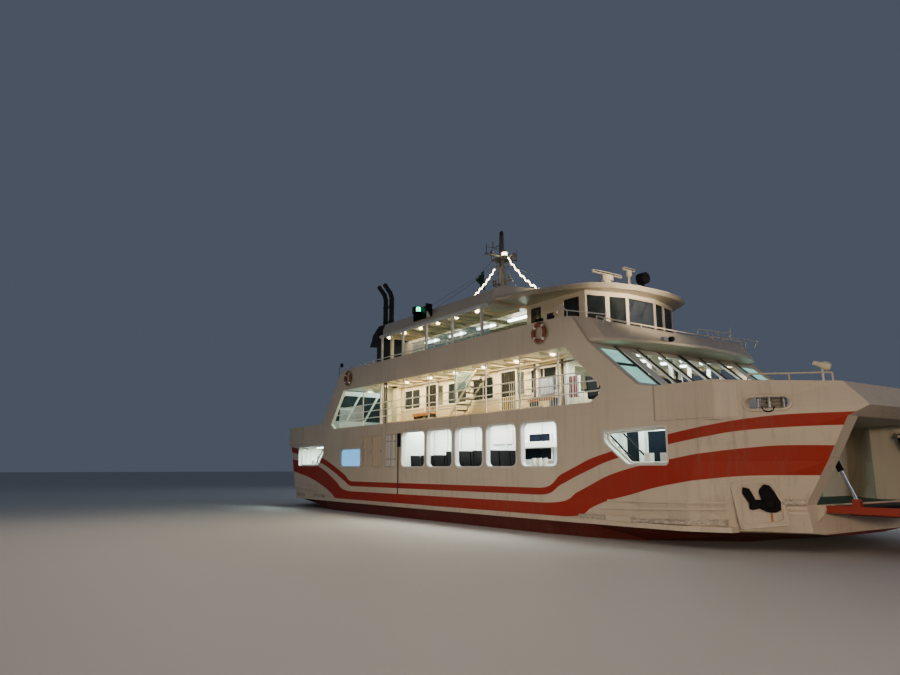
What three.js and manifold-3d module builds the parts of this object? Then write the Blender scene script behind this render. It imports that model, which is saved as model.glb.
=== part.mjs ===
// Double-ended passenger and vehicle ferry, afloat, at full size.
// Millimetres. +X is forward, +Y is to port, +Z is up. The origin is on the centreline, amidships, at the waterline.
import * as THREE from 'three';
import { mergeVertices } from 'three/addons/utils/BufferGeometryUtils.js';
import Module from 'manifold-3d';

const wasm = await Module();
wasm.setup();

// Driving dimensions
const HALF_BEAM = 4600;
const WALL = 160;
const INNER = HALF_BEAM - WALL;
const GAP = 0.3;

// Levels above the water
const KEEL_Z = -1900;
const KNUCKLE_Z = 500;
const CAR_DECK_Z = 1200;
const FOREDECK_Z = 3400;
const FOREDECK_TOP_Z = 3550;
const SALOON_DECK_Z = 3950;
const SALOON_FLOOR_Z = 4100;
const SILL_Z = 4170;
const BULWARK_Z = 4450;
const SUN_DECK_Z = 6100;
const SUN_FLOOR_Z = 6250;
const BAND_TOP_Z = 7160;
const CANOPY_Z = 8450;

// Stations from amidships
const HULL_END_X = 15800;
const SEAM_X = 12400;
const SIDE_END_X = 13200;
const LANE_HALF = 2500;

const paint = {
  white: new THREE.MeshStandardMaterial({ color: 0xd8d2c8, roughness: 0.45 }),
  hull: new THREE.MeshStandardMaterial({ color: 0xb8442a, roughness: 0.45 }),
  deck: new THREE.MeshStandardMaterial({ color: 0x5f6a62, roughness: 0.8 }),
  rail: new THREE.MeshStandardMaterial({ color: 0xe8e8e4, roughness: 0.4 }),
  black: new THREE.MeshStandardMaterial({ color: 0x1b1b1d, roughness: 0.5 }),
  bronze: new THREE.MeshStandardMaterial({ color: 0x9a7440, roughness: 0.35, metalness: 0.9 }),
  steel: new THREE.MeshStandardMaterial({ color: 0xbfc2c4, roughness: 0.25, metalness: 0.9 }),
  ramp: new THREE.MeshStandardMaterial({ color: 0x8c2a1c, roughness: 0.6 }),
};

const ferry = new THREE.Group();

function addNode(name, geometry, material) {
  const mesh = new THREE.Mesh(geometry, material);
  mesh.name = name;
  ferry.add(mesh);
}

// Solids and booleans
function solidOf(geometry) {
  const bare = geometry.clone();
  bare.deleteAttribute('normal');
  bare.deleteAttribute('uv');
  const merged = mergeVertices(bare, 0.01);
  return new wasm.Manifold(new wasm.Mesh({
    numProp: 3,
    vertProperties: Float32Array.from(merged.attributes.position.array),
    triVerts: Uint32Array.from(merged.index.array),
  }));
}

function geometryOf(solid) {
  const mesh = solid.getMesh();
  const geometry = new THREE.BufferGeometry();
  geometry.setAttribute('position', new THREE.BufferAttribute(Float32Array.from(mesh.vertProperties), 3));
  geometry.setIndex(new THREE.BufferAttribute(Uint32Array.from(mesh.triVerts), 1));
  geometry.computeVertexNormals();
  return geometry;
}

function join(geometries) {
  return geometryOf(geometries.map(solidOf).reduce((all, next) => all.add(next)));
}

function cut(geometry, tools) {
  return geometryOf(tools.map(solidOf).reduce((rest, tool) => rest.subtract(tool), solidOf(geometry)));
}

// Plain shapes
function block(x0, x1, y0, y1, z0, z1) {
  const box = new THREE.BoxGeometry(x1 - x0, y1 - y0, z1 - z0);
  return box.translate((x0 + x1) / 2, (y0 + y1) / 2, (z0 + z1) / 2);
}

function rod(from, to, radius, sides = 8) {
  const start = new THREE.Vector3(...from);
  const end = new THREE.Vector3(...to);
  const along = end.clone().sub(start);
  const tube = new THREE.CylinderGeometry(radius, radius, along.length(), sides);
  const turn = new THREE.Quaternion().setFromUnitVectors(new THREE.Vector3(0, 1, 0), along.normalize());
  return tube.applyQuaternion(turn).translate(...start.add(end).multiplyScalar(0.5).toArray());
}

function outline(points, holes = []) {
  const shape = new THREE.Shape(points.map(([u, v]) => new THREE.Vector2(u, v)));
  shape.holes = holes;
  return shape;
}

// A pane with rounded corners, given by its corners in order
function pane(corners, radius) {
  const path = new THREE.Path();
  const points = corners.map(([u, v]) => new THREE.Vector2(u, v));
  points.forEach((corner, i) => {
    const before = points[(i + points.length - 1) % points.length].clone().sub(corner).setLength(radius).add(corner);
    const after = points[(i + 1) % points.length].clone().sub(corner).setLength(radius).add(corner);
    if (i === 0) path.moveTo(before.x, before.y);
    else path.lineTo(before.x, before.y);
    path.quadraticCurveTo(corner.x, corner.y, after.x, after.y);
  });
  path.closePath();
  return path;
}

function rectangle(u0, u1, v0, v1, radius) {
  return pane([[u0, v0], [u1, v0], [u1, v1], [u0, v1]], radius);
}

const CURVE_STEPS = 3;

function extrude(shape, depth) {
  return new THREE.ExtrudeGeometry(shape, { depth, bevelEnabled: false, curveSegments: CURVE_STEPS });
}

// A plate drawn in x and z, between two values of y
function sidePlate(shape, y0, y1) {
  return extrude(shape, y1 - y0).rotateX(Math.PI / 2).translate(0, y1, 0);
}

// A plate drawn in x and y, between two heights
function deckPlate(shape, z0, z1) {
  return extrude(shape, z1 - z0).translate(0, 0, z0);
}

// A plate drawn in y and z, between two stations
function crossPlate(shape, x0, x1) {
  const basis = new THREE.Matrix4().makeBasis(
    new THREE.Vector3(0, 1, 0), new THREE.Vector3(0, 0, 1), new THREE.Vector3(1, 0, 0));
  return extrude(shape, x1 - x0).applyMatrix4(basis).translate(x0, 0, 0);
}

// Leans a plate: x moves by slope for each unit of z above the level z0
function lean(geometry, slope, z0) {
  const shear = new THREE.Matrix4().makeShear(0, 0, 0, 0, 0, 0);
  shear.elements[8] = slope;
  return geometry.applyMatrix4(shear).translate(-slope * z0, 0, 0);
}

// Skins a list of closed rings of equal length, and caps both ends
function loft(rings) {
  const count = rings[0].length;
  const position = rings.flat(2);
  const index = [];
  for (let r = 0; r + 1 < rings.length; r += 1) {
    for (let i = 0; i < count; i += 1) {
      const a = r * count + i;
      const b = r * count + (i + 1) % count;
      index.push(a, b, b + count, a, b + count, a + count);
    }
  }
  [0, rings.length - 1].forEach((r) => {
    const ring = rings[r].map((p) => new THREE.Vector3(...p));
    const normal = ringNormal(ring);
    const side = new THREE.Vector3(1, 0, 0).cross(normal);
    if (side.length() < 0.5) side.set(0, 1, 0);
    side.normalize();
    const up = normal.clone().cross(side);
    const flat = ring.map((p) => new THREE.Vector2(p.dot(side), p.dot(up)));
    THREE.ShapeUtils.triangulateShape(flat, []).forEach(([a, b, c]) => {
      const base = r * count;
      if (r === 0) index.push(base + c, base + b, base + a);
      else index.push(base + a, base + b, base + c);
    });
  });
  const geometry = new THREE.BufferGeometry();
  geometry.setAttribute('position', new THREE.Float32BufferAttribute(position, 3));
  geometry.setIndex(index);
  return outward(geometry);
}

function ringNormal(ring) {
  const normal = new THREE.Vector3();
  ring.forEach((p, i) => normal.add(p.clone().cross(ring[(i + 1) % ring.length])));
  return normal.normalize();
}

// Turns the faces round where they point inwards
function outward(geometry) {
  const p = geometry.attributes.position;
  const index = geometry.index.array;
  let volume = 0;
  for (let i = 0; i < index.length; i += 3) {
    const [a, b, c] = [0, 1, 2].map((k) => new THREE.Vector3().fromBufferAttribute(p, index[i + k]));
    volume += a.dot(b.cross(c));
  }
  if (volume < 0) {
    const turned = Array.from(index);
    for (let i = 0; i < turned.length; i += 3) [turned[i], turned[i + 1]] = [turned[i + 1], turned[i]];
    geometry.setIndex(turned);
  }
  return geometry;
}

function mirrorY(geometry) {
  return outward(toIndexed(geometry).applyMatrix4(new THREE.Matrix4().makeScale(1, -1, 1)));
}

function mirrorX(geometry) {
  return outward(toIndexed(geometry).applyMatrix4(new THREE.Matrix4().makeScale(-1, 1, 1)));
}

function toIndexed(geometry) {
  const bare = geometry.clone();
  bare.deleteAttribute('normal');
  bare.deleteAttribute('uv');
  return mergeVertices(bare, 0.01);
}

const SIDES = [['stbd', -1], ['port', 1]];
const onSide = (geometry, side) => (side < 0 ? geometry : mirrorY(geometry));

// Hull below the vehicle deck. Like the deck above it, it is the same at both ends.
// Columns: station, half breadth at the deck, at the knuckle, at the bilge and at the flat bottom, bottom height
const HULL_STATIONS = [
  [0, 4600, 4600, 4300, 3500, KEEL_Z],
  [7600, 4600, 4600, 4200, 3200, KEEL_Z],
  [9300, 4600, 4560, 4000, 2700, -1250],
  [11200, 4600, 4540, 3600, 1900, -350],
  [13400, 4600, 4380, 3000, 1300, 50],
  [14600, 3800, 3450, 2350, 1000, 220],
  [HULL_END_X, 3000, 2750, 2150, 900, 360],
];
const BILGE_SHARE = 0.45;

function hullRing([x, deck, knuckle, bilge, bottom, bottomZ]) {
  const bilgeZ = bottomZ + (KNUCKLE_Z - bottomZ) * BILGE_SHARE;
  const half = [[deck, CAR_DECK_Z], [knuckle, KNUCKLE_Z], [bilge, bilgeZ], [bottom, bottomZ]];
  const starboard = half.map(([y, z]) => [x, -y, z]);
  const port = half.slice().reverse().map(([y, z]) => [x, y, z]);
  return [...starboard, ...port];
}

// Height of the hull's flat bottom at a station
function bottomAt(x) {
  const i = HULL_STATIONS.findIndex((row) => row[0] > x);
  const [before, after] = [HULL_STATIONS[i - 1], HULL_STATIONS[i]];
  return THREE.MathUtils.mapLinear(x, before[0], after[0], before[5], after[5]);
}

const stations = [
  ...HULL_STATIONS.slice(1).reverse().map(([x, ...rest]) => [-x, ...rest]),
  ...HULL_STATIONS,
];
const hullShell = loft(stations.map(hullRing));

// Ramp hinges
const RAMP = { x: 15900, z: 1090, half: 2380, length: 2700, thick: 150, knuckle: 75, lug: 120 };
const LUG_GAP = 0.6;

function rampLug(end, side) {
  const y0 = side < 0 ? -RAMP.half - LUG_GAP - RAMP.lug : RAMP.half + LUG_GAP;
  const [root, nose] = [HULL_END_X - 60, RAMP.x + 60];
  const shape = outline([[root, 700], [nose, 960], [nose + 30, RAMP.z], [nose, CAR_DECK_Z - 1], [root, CAR_DECK_Z - 1]]);
  const plate = sidePlate(shape, y0, y0 + RAMP.lug);
  return end > 0 ? plate : mirrorX(plate);
}

// Centreline skegs, each with the stern tube of its propeller
const SHAFT_Z = -1130;
const SKEG = { inner: 6800, outer: 10900, half: 110, foot: KEEL_Z };
const TUBE_R = 190;
const TUBE_OUT = 50;

function skeg(end) {
  const fin = sidePlate(outline([
    [SKEG.inner, SKEG.foot], [SKEG.outer - 500, SKEG.foot], [SKEG.outer, SHAFT_Z - 250],
    [SKEG.outer, -350], [SKEG.inner, -1200]]), -SKEG.half, SKEG.half);
  const tube = rod([SKEG.inner + 400, 0, SHAFT_Z], [SKEG.outer + TUBE_OUT, 0, SHAFT_Z], TUBE_R, 12);
  return [fin, tube].map((piece) => (end > 0 ? piece : mirrorX(piece)));
}

// Rub rails along the knuckle: station and outer half breadth of each corner
const RAIL_PLAN = [[11000, 4690], [13200, 4560], [14300, 3960]];
const RAIL = { z0: 460, z1: 600, deep: 300 };
const railOuter = [...RAIL_PLAN.map(([x, y]) => [-x, y]).reverse(), ...RAIL_PLAN];
const railInner = railOuter.map(([x, y]) => [x, y - RAIL.deep]).reverse();
const rubRails = SIDES.map(([, side]) => deckPlate(
  outline([...railOuter, ...railInner].map(([x, y]) => [x, side * y])), RAIL.z0, RAIL.z1));

const hullSolid = join([
  hullShell, ...skeg(1), ...skeg(-1), ...rubRails,
  ...[1, -1].flatMap((end) => SIDES.map(([, side]) => rampLug(end, side))),
]);
addNode('hull', hullSolid, paint.hull);

// Side walls of the vehicle deck, with their windows
// Columns: first station, last station, bottom, top
const SIDE_WINDOWS = [
  [-1460, 430, 2180, 3680],
  [590, 2440, 2180, 3680],
  [2650, 4450, 2180, 3680],
  [4660, 6400, 2180, 3680],
  [6650, 8490, 2180, 3680],
  [-7500, -5360, 2210, 3060],
];
const GRILLES = [[-5150, -4350], [-4200, -3300], [-2900, -2350], [-2250, -1850]];
const GRILLE_Z = [2180, 3640];
const FORWARD_PORT = [[10540, 3230], [10540, 2920], [11440, 2230], [12880, 2230], [12880, 3290]];
const AFT_PORT = [[-12950, 3290], [-12900, 2260], [-10260, 2260], [-9600, 2900], [-9600, 3340]];
const WINDOW_R = 260;
const PORT_R = 120;

const sideHoles = [
  ...SIDE_WINDOWS.map(([x0, x1, z0, z1]) => rectangle(x0, x1, z0, z1, WINDOW_R)),
  pane(FORWARD_PORT, PORT_R),
  pane(AFT_PORT, PORT_R),
];
const sideShape = outline([
  [-SIDE_END_X, CAR_DECK_Z], [SIDE_END_X, CAR_DECK_Z], [SIDE_END_X, FOREDECK_Z], [SEAM_X, FOREDECK_Z],
  [SEAM_X, SILL_Z], [-SEAM_X, SILL_Z], [-SEAM_X, FOREDECK_Z], [-SIDE_END_X, FOREDECK_Z]], sideHoles);
const sideWall = cut(
  sidePlate(sideShape, -HALF_BEAM, -INNER),
  GRILLES.map(([x0, x1]) => block(x0, x1, -HALF_BEAM - 1, -HALF_BEAM + 60, ...GRILLE_Z)));
SIDES.forEach(([name, side]) => addNode(`side_wall_${name}`, onSide(sideWall, side), paint.white));

// Walls between the vehicle lane and the cabins beside it, with their doors and windows
const LANE_WALL = { x0: -7600, x1: 9500, y: 2560, thick: 80 };
// Columns: first station, last station, bottom, top
const LANE_HOLES = [
  [-6900, -6100, CAR_DECK_Z + 60, 3250],
  [-4600, -2600, 2250, 3150],
  [-1600, 400, 2250, 3150],
  [1400, 3400, 2250, 3150],
  [4400, 5200, CAR_DECK_Z + 60, 3250],
  [6200, 8200, 2250, 3150],
];
const laneWall = sidePlate(
  outline([[LANE_WALL.x0, CAR_DECK_Z], [LANE_WALL.x1, CAR_DECK_Z], [LANE_WALL.x1, SALOON_DECK_Z],
    [LANE_WALL.x0, SALOON_DECK_Z]], LANE_HOLES.map(([x0, x1, z0, z1]) => rectangle(x0, x1, z0, z1, 80))),
  -LANE_WALL.y - LANE_WALL.thick, -LANE_WALL.y);
SIDES.forEach(([name, side]) => addNode(`lane_wall_${name}`, onSide(laneWall, side), paint.white));

// End quarters beside the ramp, from the vehicle deck to the foredeck. They are solid, and carry the ramp's cylinders.
// Columns: height, station of the knuckle, station of the end
const QUARTER_LEVELS = [
  [CAR_DECK_Z, 13400, 15800],
  [2300, 13750, 16450],
  [FOREDECK_Z, 14100, 17050],
];
const END_HALF = 3000;
const QUARTER_INNER_X = 15000;
const QUARTER_STEP = 180;
// The ramp's cylinder: its upper pin and the pin on the ramp
const CYLINDER = { x: 15950, z: 3050, y: 2250, pinR: 45, barrelR: 80, rodR: 38, eye: 80 };
const RAMP_PIN = { out: 800, up: 215 };
const PIN_SIDES = 24;

const quarterRing = ([z, knuckle, end]) => [
  [SIDE_END_X, -HALF_BEAM, z], [knuckle, -HALF_BEAM, z], [end, -END_HALF, z], [end, -LANE_HALF, z],
  [QUARTER_INNER_X, -LANE_HALF, z], [knuckle - QUARTER_STEP, -INNER, z], [SIDE_END_X, -INNER, z]];
const cylinderLug = block(
  CYLINDER.x - 130, CYLINDER.x + 90, -LANE_HALF - 50, -CYLINDER.y - 100, CYLINDER.z - 90, CYLINDER.z + 130);
const cylinderPin = rod(
  [CYLINDER.x, -LANE_HALF - 20, CYLINDER.z], [CYLINDER.x, -CYLINDER.y + 75, CYLINDER.z], CYLINDER.pinR, PIN_SIDES);
const quarter = join([loft(QUARTER_LEVELS.map(quarterRing)), cylinderLug, cylinderPin]);
const ENDS = [['bow', 1], ['stern', -1]];
const onEnd = (geometry, end) => (end > 0 ? geometry : mirrorX(geometry));

// Anchor beds on the bow quarters. They are drawn on the tapered face: along it, up it and out from it.
const BED = { x: 14900, y: -3600, z: CAR_DECK_Z, sunk: 240, proud: 80, recess: 50, rim: 110, corner: 170 };
const BED_CORNERS = [[-680, 600], [-480, -640], [700, -480], [560, 180], [340, 740]];
const bedAlong = new THREE.Vector3(2400, 1600, 0).normalize();
const bedUp = new THREE.Vector3(0.4, 0, 1);
bedUp.addScaledVector(bedAlong, -bedUp.dot(bedAlong)).normalize();
const bedOut = bedAlong.clone().cross(bedUp);
const onBed = (geometry, out) => geometry.translate(0, 0, out)
  .applyMatrix4(new THREE.Matrix4().makeBasis(bedAlong, bedUp, bedOut)).translate(BED.x, BED.y, BED.z);
const bedShape = (share) => new THREE.Shape(
  pane(BED_CORNERS.map(([u, v]) => [u * share, v * share]), BED.corner).getPoints(CURVE_STEPS));
const bedPlate = onBed(extrude(bedShape(1), BED.sunk + BED.proud), -BED.sunk);
const bedRecess = onBed(extrude(bedShape(1 - BED.rim / 600), 2 * BED.recess), BED.proud - BED.recess);
const bowQuarter = (side) => cut(
  join([onSide(quarter, side), onSide(bedPlate, side)]),
  [onSide(bedRecess, side), hullSolid.clone().translate(2 * GAP, 2 * GAP * side, 0)]);
SIDES.forEach(([name, side]) => {
  addNode(`bow_quarter_${name}`, bowQuarter(side), paint.white);
  addNode(`stern_quarter_${name}`, onEnd(onSide(quarter, side), -1), paint.white);
});

// Anchors in their beds: half of the outline, along and up the bed, then its mirror image
const ANCHOR_HALF = [
  [0, -390], [170, -395], [350, -300], [405, 50], [360, 200], [280, 50], [200, -180], [65, -215], [55, 300], [0, 330]];
const ANCHOR_THICK = 110;
const anchorShape = outline([...ANCHOR_HALF, ...ANCHOR_HALF.slice(1, -1).reverse().map(([u, v]) => [-u, v])]);
const anchor = onBed(extrude(anchorShape, ANCHOR_THICK), BED.proud - BED.recess + GAP);
SIDES.forEach(([name, side]) => addNode(`anchor_${name}`, onSide(anchor, side), paint.black));

// Foredeck and afterdeck, each with the bulwark around it
// Columns: height, height at the tip, station of the end, half breadth of the end
const BULWARK_TIP_Z = 4270;
const BULWARK_LEVELS = [
  [FOREDECK_Z, FOREDECK_Z, 17060, 3000],
  [3650, 3650, 17500, 2800],
  [BULWARK_Z, BULWARK_TIP_Z, 16950, 2900],
];
const BULWARK_WALL = 140;
const BULWARK_KNUCKLE = 14430;
const BULWARK_CORNER = [14870, 4130];

function endRing([z, tipZ, end, half], inset, inner) {
  const side = HALF_BEAM - inset;
  const [cornerX, cornerY] = BULWARK_CORNER;
  const edge = [
    [inner, -side, z], [BULWARK_KNUCKLE - inset * 0.4, -side, z],
    [cornerX - inset * 0.6, -cornerY + inset, z + (tipZ - z) * 0.2], [end - inset, -half + inset, tipZ]];
  return [...edge, ...edge.slice().reverse().map(([x, y, height]) => [x, -y, height])];
}

const FAIRLEAD = { x: 15470, z: 3780, half: 310, r: 172, reach: 6000 };
const foredeckSolid = loft(BULWARK_LEVELS.map((row) => endRing(row, 0, SEAM_X)));
const foredeckWell = loft([
  endRing([FOREDECK_TOP_Z, FOREDECK_TOP_Z, 17400, 2800], BULWARK_WALL, SEAM_X - 100),
  endRing([3651, 3651, 17480, 2800], BULWARK_WALL, SEAM_X - 100),
  endRing([BULWARK_Z + 10, BULWARK_Z + 10, 16920, 2900], BULWARK_WALL, SEAM_X - 100),
]);
const fairleads = [
  ...[-1, 1].map((end) => FAIRLEAD.x + end * FAIRLEAD.half).map(
    (x) => rod([x, -FAIRLEAD.reach, FAIRLEAD.z], [x, FAIRLEAD.reach, FAIRLEAD.z], FAIRLEAD.r, 12)),
  block(FAIRLEAD.x - FAIRLEAD.half, FAIRLEAD.x + FAIRLEAD.half, -FAIRLEAD.reach, FAIRLEAD.reach,
    FAIRLEAD.z - FAIRLEAD.r, FAIRLEAD.z + FAIRLEAD.r),
];
// Handrail over the bulwark beside the tip, and the mooring bitts on the deck
const HANDRAIL_R = 24;
const END_RAIL = [[15050, -3930, 4560], [16750, -2950, 4500]];
const endRails = SIDES.flatMap(([, side]) => {
  const [from, to] = END_RAIL.map(([x, y, z]) => [x, side * y, z]);
  const posts = [0, 0.5, 1].map((share) => from.map((v, i) => THREE.MathUtils.lerp(v, to[i], share)));
  return [rod(from, to, HANDRAIL_R, 6), ...posts.map(([x, y, z]) => rod([x, y, z + 5], [x, y, 4200], HANDRAIL_R, 6))];
});
const BITTS = { x: 13300, y: 3500, apart: 450, r: 110, top: 4050 };
const bitts = SIDES.flatMap(([, side]) => [0, BITTS.apart].map((step) => rod(
  [BITTS.x + step, side * BITTS.y, FOREDECK_TOP_Z - 50], [BITTS.x + step, side * BITTS.y, BITTS.top], BITTS.r, 10)));
const WINDLASS = { x: 14600, half: 700, r: 190, z: 4000, bed: 900 };
const windlass = [
  block(WINDLASS.x - 300, WINDLASS.x + 300, -WINDLASS.bed, WINDLASS.bed, FOREDECK_TOP_Z - 50, FOREDECK_TOP_Z + 90),
  ...[-1, 1].map((side) => block(
    WINDLASS.x - 160, WINDLASS.x + 160, side * 260 - 60, side * 260 + 60, FOREDECK_TOP_Z, WINDLASS.z + 60)),
  rod([WINDLASS.x, -WINDLASS.half, WINDLASS.z], [WINDLASS.x, WINDLASS.half, WINDLASS.z], WINDLASS.r, 12),
];
const foredeck = join([cut(foredeckSolid, [foredeckWell, ...fairleads]), ...endRails, ...bitts, ...windlass]);
addNode('foredeck', foredeck, paint.white);
addNode('afterdeck', mirrorX(foredeck), paint.white);

// Saloon deck, between the side walls
const SALOON_END_X = SEAM_X;
addNode('saloon_deck', block(-SALOON_END_X, SALOON_END_X, -INNER, INNER, SALOON_DECK_Z, SALOON_FLOOR_Z), paint.deck);

// Wings that sweep from the sun deck down to the bulwark, before and behind the promenade's opening
const WING_OUTER = [[11900, 4550], [10020, SUN_DECK_Z], [9350, 7000], [9050, 7110], [8000, BAND_TOP_Z]];
const WING_INNER = [[8000, SUN_DECK_Z], [8930, SUN_DECK_Z], [10490, 4620], [10370, 4360], [10020, SILL_Z]];
const wingShape = outline([[SEAM_X, SILL_Z], [SEAM_X, BULWARK_Z], ...WING_OUTER, ...WING_INNER]);
const BAND_AFT_X = -7300;
const BAND_FORE_X = 8000;
const AFT_WING_OUTER = [[-9950, BULWARK_Z + 40], [-7900, 6950], [-7500, BAND_TOP_Z]];
const AFT_WING_INNER = [
  [BAND_AFT_X, BAND_TOP_Z], [BAND_AFT_X, SUN_DECK_Z], [-7430, SUN_DECK_Z], [-8800, 4400], [-8430, SILL_Z]];
const aftWingShape = outline([[-SEAM_X, SILL_Z], [-SEAM_X, BULWARK_Z], ...AFT_WING_OUTER, ...AFT_WING_INNER]);
const sunBand = block(BAND_AFT_X, BAND_FORE_X, -HALF_BEAM, -INNER, SUN_DECK_Z, BAND_TOP_Z);
SIDES.forEach(([name, side]) => {
  addNode(`fore_wing_${name}`, onSide(sidePlate(wingShape, -HALF_BEAM, -INNER), side), paint.white);
  addNode(`aft_wing_${name}`, onSide(sidePlate(aftWingShape, -HALF_BEAM, -INNER), side), paint.white);
  addNode(`sun_band_${name}`, onSide(sunBand, side), paint.white);
});

// Posts and rails in the promenade's opening
const PROMENADE = { y: 4520, first: -5350, pitch: 1985, count: 8, postR: 32, railR: 22, overlap: 8 };
// Columns: height, first station, last station
const PROMENADE_RAILS = [[5180, -8120, 9850], [4850, -8380, 10200], [4520, -8640, 10400]];
const promenadeRails = join([
  ...Array.from({ length: PROMENADE.count }, (_, i) => PROMENADE.first + i * PROMENADE.pitch).map(
    (x) => rod([x, -PROMENADE.y, SILL_Z], [x, -PROMENADE.y, SUN_DECK_Z], PROMENADE.postR, 6)),
  ...PROMENADE_RAILS.map(([z, x0, x1]) => rod([x0, -PROMENADE.y, z], [x1, -PROMENADE.y, z], PROMENADE.railR, 6)),
]);
SIDES.forEach(([name, side]) => addNode(`promenade_rails_${name}`, onSide(promenadeRails, side), paint.rail));

// Sun deck
addNode('sun_deck', block(-7300, 8800, -INNER, INNER, SUN_DECK_Z, SUN_FLOOR_Z), paint.deck);

// Raked window walls at both ends of the saloon
const RAKE = -(11900 - 10020) / (SUN_DECK_Z - 4550);
const END_WALL = 140;
const END_WINDOWS_Z = [4650, 5900];
const MULLIONS = [-4300, -3350, -2250, -1150, -50, 50, 1150, 2250, 3350, 4300];
const MULLION_HALF = 50;
const endPanes = [];
MULLIONS.slice(0, -1).forEach((y, i) => {
  if (MULLIONS[i + 1] - y > 200) {
    endPanes.push(rectangle(y + MULLION_HALF, MULLIONS[i + 1] - MULLION_HALF, ...END_WINDOWS_Z, 60));
  }
});
const endWallShape = outline([
  [-INNER, SALOON_FLOOR_Z], [INNER, SALOON_FLOOR_Z], [INNER, SUN_DECK_Z], [-INNER, SUN_DECK_Z]], endPanes);
const FOOT_X = 12400;
const foreWall = lean(crossPlate(endWallShape, FOOT_X - END_WALL, FOOT_X), RAKE, SALOON_FLOOR_Z);
addNode('fore_window_wall', foreWall, paint.white);
const AFT_FOOT_X = 10300;
const aftWall = mirrorX(lean(crossPlate(endWallShape, AFT_FOOT_X - END_WALL, AFT_FOOT_X), RAKE, SALOON_FLOOR_Z));
addNode('aft_window_wall', aftWall, paint.white);

// Brow over the fore windows, with its handrail
// Columns: distance off the centreline, station of the lip, station and height of the shoulder
const BROW_HALF = [[INNER, 9990, 9400, 7070], [4150, 10330, 9750, 7000], [3600, 10600, 9900, 6930],
  [2000, 10980, 9780, 6960], [0, 11160, 9640, 6990]];
const BROW_SECTIONS = [
  ...BROW_HALF.map(([y, ...rest]) => [-y, ...rest]), ...BROW_HALF.slice(0, -1).reverse()];
const BROW_BACK_X = 8800;
const browRing = ([y, lip, shoulder, height]) => [
  [BROW_BACK_X, y, SUN_DECK_Z], [lip - 200, y, SUN_DECK_Z], [lip, y, SUN_DECK_Z + 50], [lip, y, SUN_DECK_Z + 140],
  [shoulder, y, height], [9080, y, 7140], [BROW_BACK_X, y, BAND_TOP_Z]];
const BROW_RAIL = { rise: 170, ahead: 260, drop: 170 };
const browRailPoints = BROW_SECTIONS.slice(1, -1).map(
  ([y, , shoulder, height]) => [shoulder + BROW_RAIL.ahead, y, height + BROW_RAIL.rise - BROW_RAIL.drop]);
const browRails = browRailPoints.flatMap(([x, y, z], i) => [
  rod([x, y, z + 5], [x, y, z - 300], HANDRAIL_R, 6),
  ...(i > 0 ? [rod(browRailPoints[i - 1], [x, y, z], HANDRAIL_R, 6)] : []),
]);
addNode('brow', join([loft(BROW_SECTIONS.map(browRing)), ...browRails]), paint.white);

// Saloon cabin, hollow, with its windows
const SALOON = { x0: -4200, x1: 7400, half: 3150, wall: 90 };
const saloonBlock = block(SALOON.x0, SALOON.x1, -SALOON.half, SALOON.half, SALOON_FLOOR_Z, SUN_DECK_Z);
const saloonInside = block(
  SALOON.x0 + SALOON.wall, SALOON.x1 - SALOON.wall, -SALOON.half + SALOON.wall, SALOON.half - SALOON.wall, 0, 9000);
const SALOON_PANE_Z = [4900, 5800];
const SALOON_PANES = { first: 600, pitch: 1850, wide: 1400, count: 6 };
const saloonCuts = [
  ...Array.from({ length: SALOON_PANES.count }, (_, i) => SALOON.x0 + SALOON_PANES.first + i * SALOON_PANES.pitch).map(
    (x0) => block(x0, x0 + SALOON_PANES.wide, -5000, 5000, ...SALOON_PANE_Z)),
  block(SALOON.x1 - 1000, SALOON.x1 + 1000, -2600, -400, ...SALOON_PANE_Z),
  block(SALOON.x1 - 1000, SALOON.x1 + 1000, 400, 2600, ...SALOON_PANE_Z),
  block(SALOON.x0 - 1000, SALOON.x0 + 1000, -600, 600, SALOON_FLOOR_Z - 10, 5900),
];
addNode('saloon', cut(saloonBlock, [saloonInside, ...saloonCuts]), paint.white);

// Canopy over the sun deck: columns are distance off the centreline and height
const CANOPY_RISE = 980;
const CANOPY_HALF = [[4250, 0], [4250, 340], [4120, 620], [3650, 800], [1800, 940], [0, CANOPY_RISE]];
const CANOPY_SECTION = [...CANOPY_HALF.map(([y, up]) => [-y, CANOPY_Z + up]),
  ...CANOPY_HALF.slice(0, -1).reverse().map(([y, up]) => [y, CANOPY_Z + up])];
const CANOPY_AFT_X = -3950;
const CANOPY_FORE_X = 4700;
addNode('canopy', crossPlate(outline(CANOPY_SECTION.slice().reverse()), CANOPY_AFT_X, CANOPY_FORE_X), paint.white);

// Posts that carry the canopy, on a beam along each side
const POST_HALF = 45;
const POSTS_X = [-3600, -1660, 320, 2280, 4300];
const POST_Y = HALF_BEAM - 80;
const canopyPosts = join([
  block(CANOPY_AFT_X + 100, CANOPY_FORE_X - 100, -POST_Y, -INNER + 80, CANOPY_Z - 120, CANOPY_Z),
  ...POSTS_X.map((x) => block(
    x - POST_HALF, x + POST_HALF, -POST_Y, -POST_Y + 2 * POST_HALF, BAND_TOP_Z, CANOPY_Z - 60)),
]);
SIDES.forEach(([name, side]) => addNode(`canopy_posts_${name}`, onSide(canopyPosts, side), paint.rail));

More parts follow.
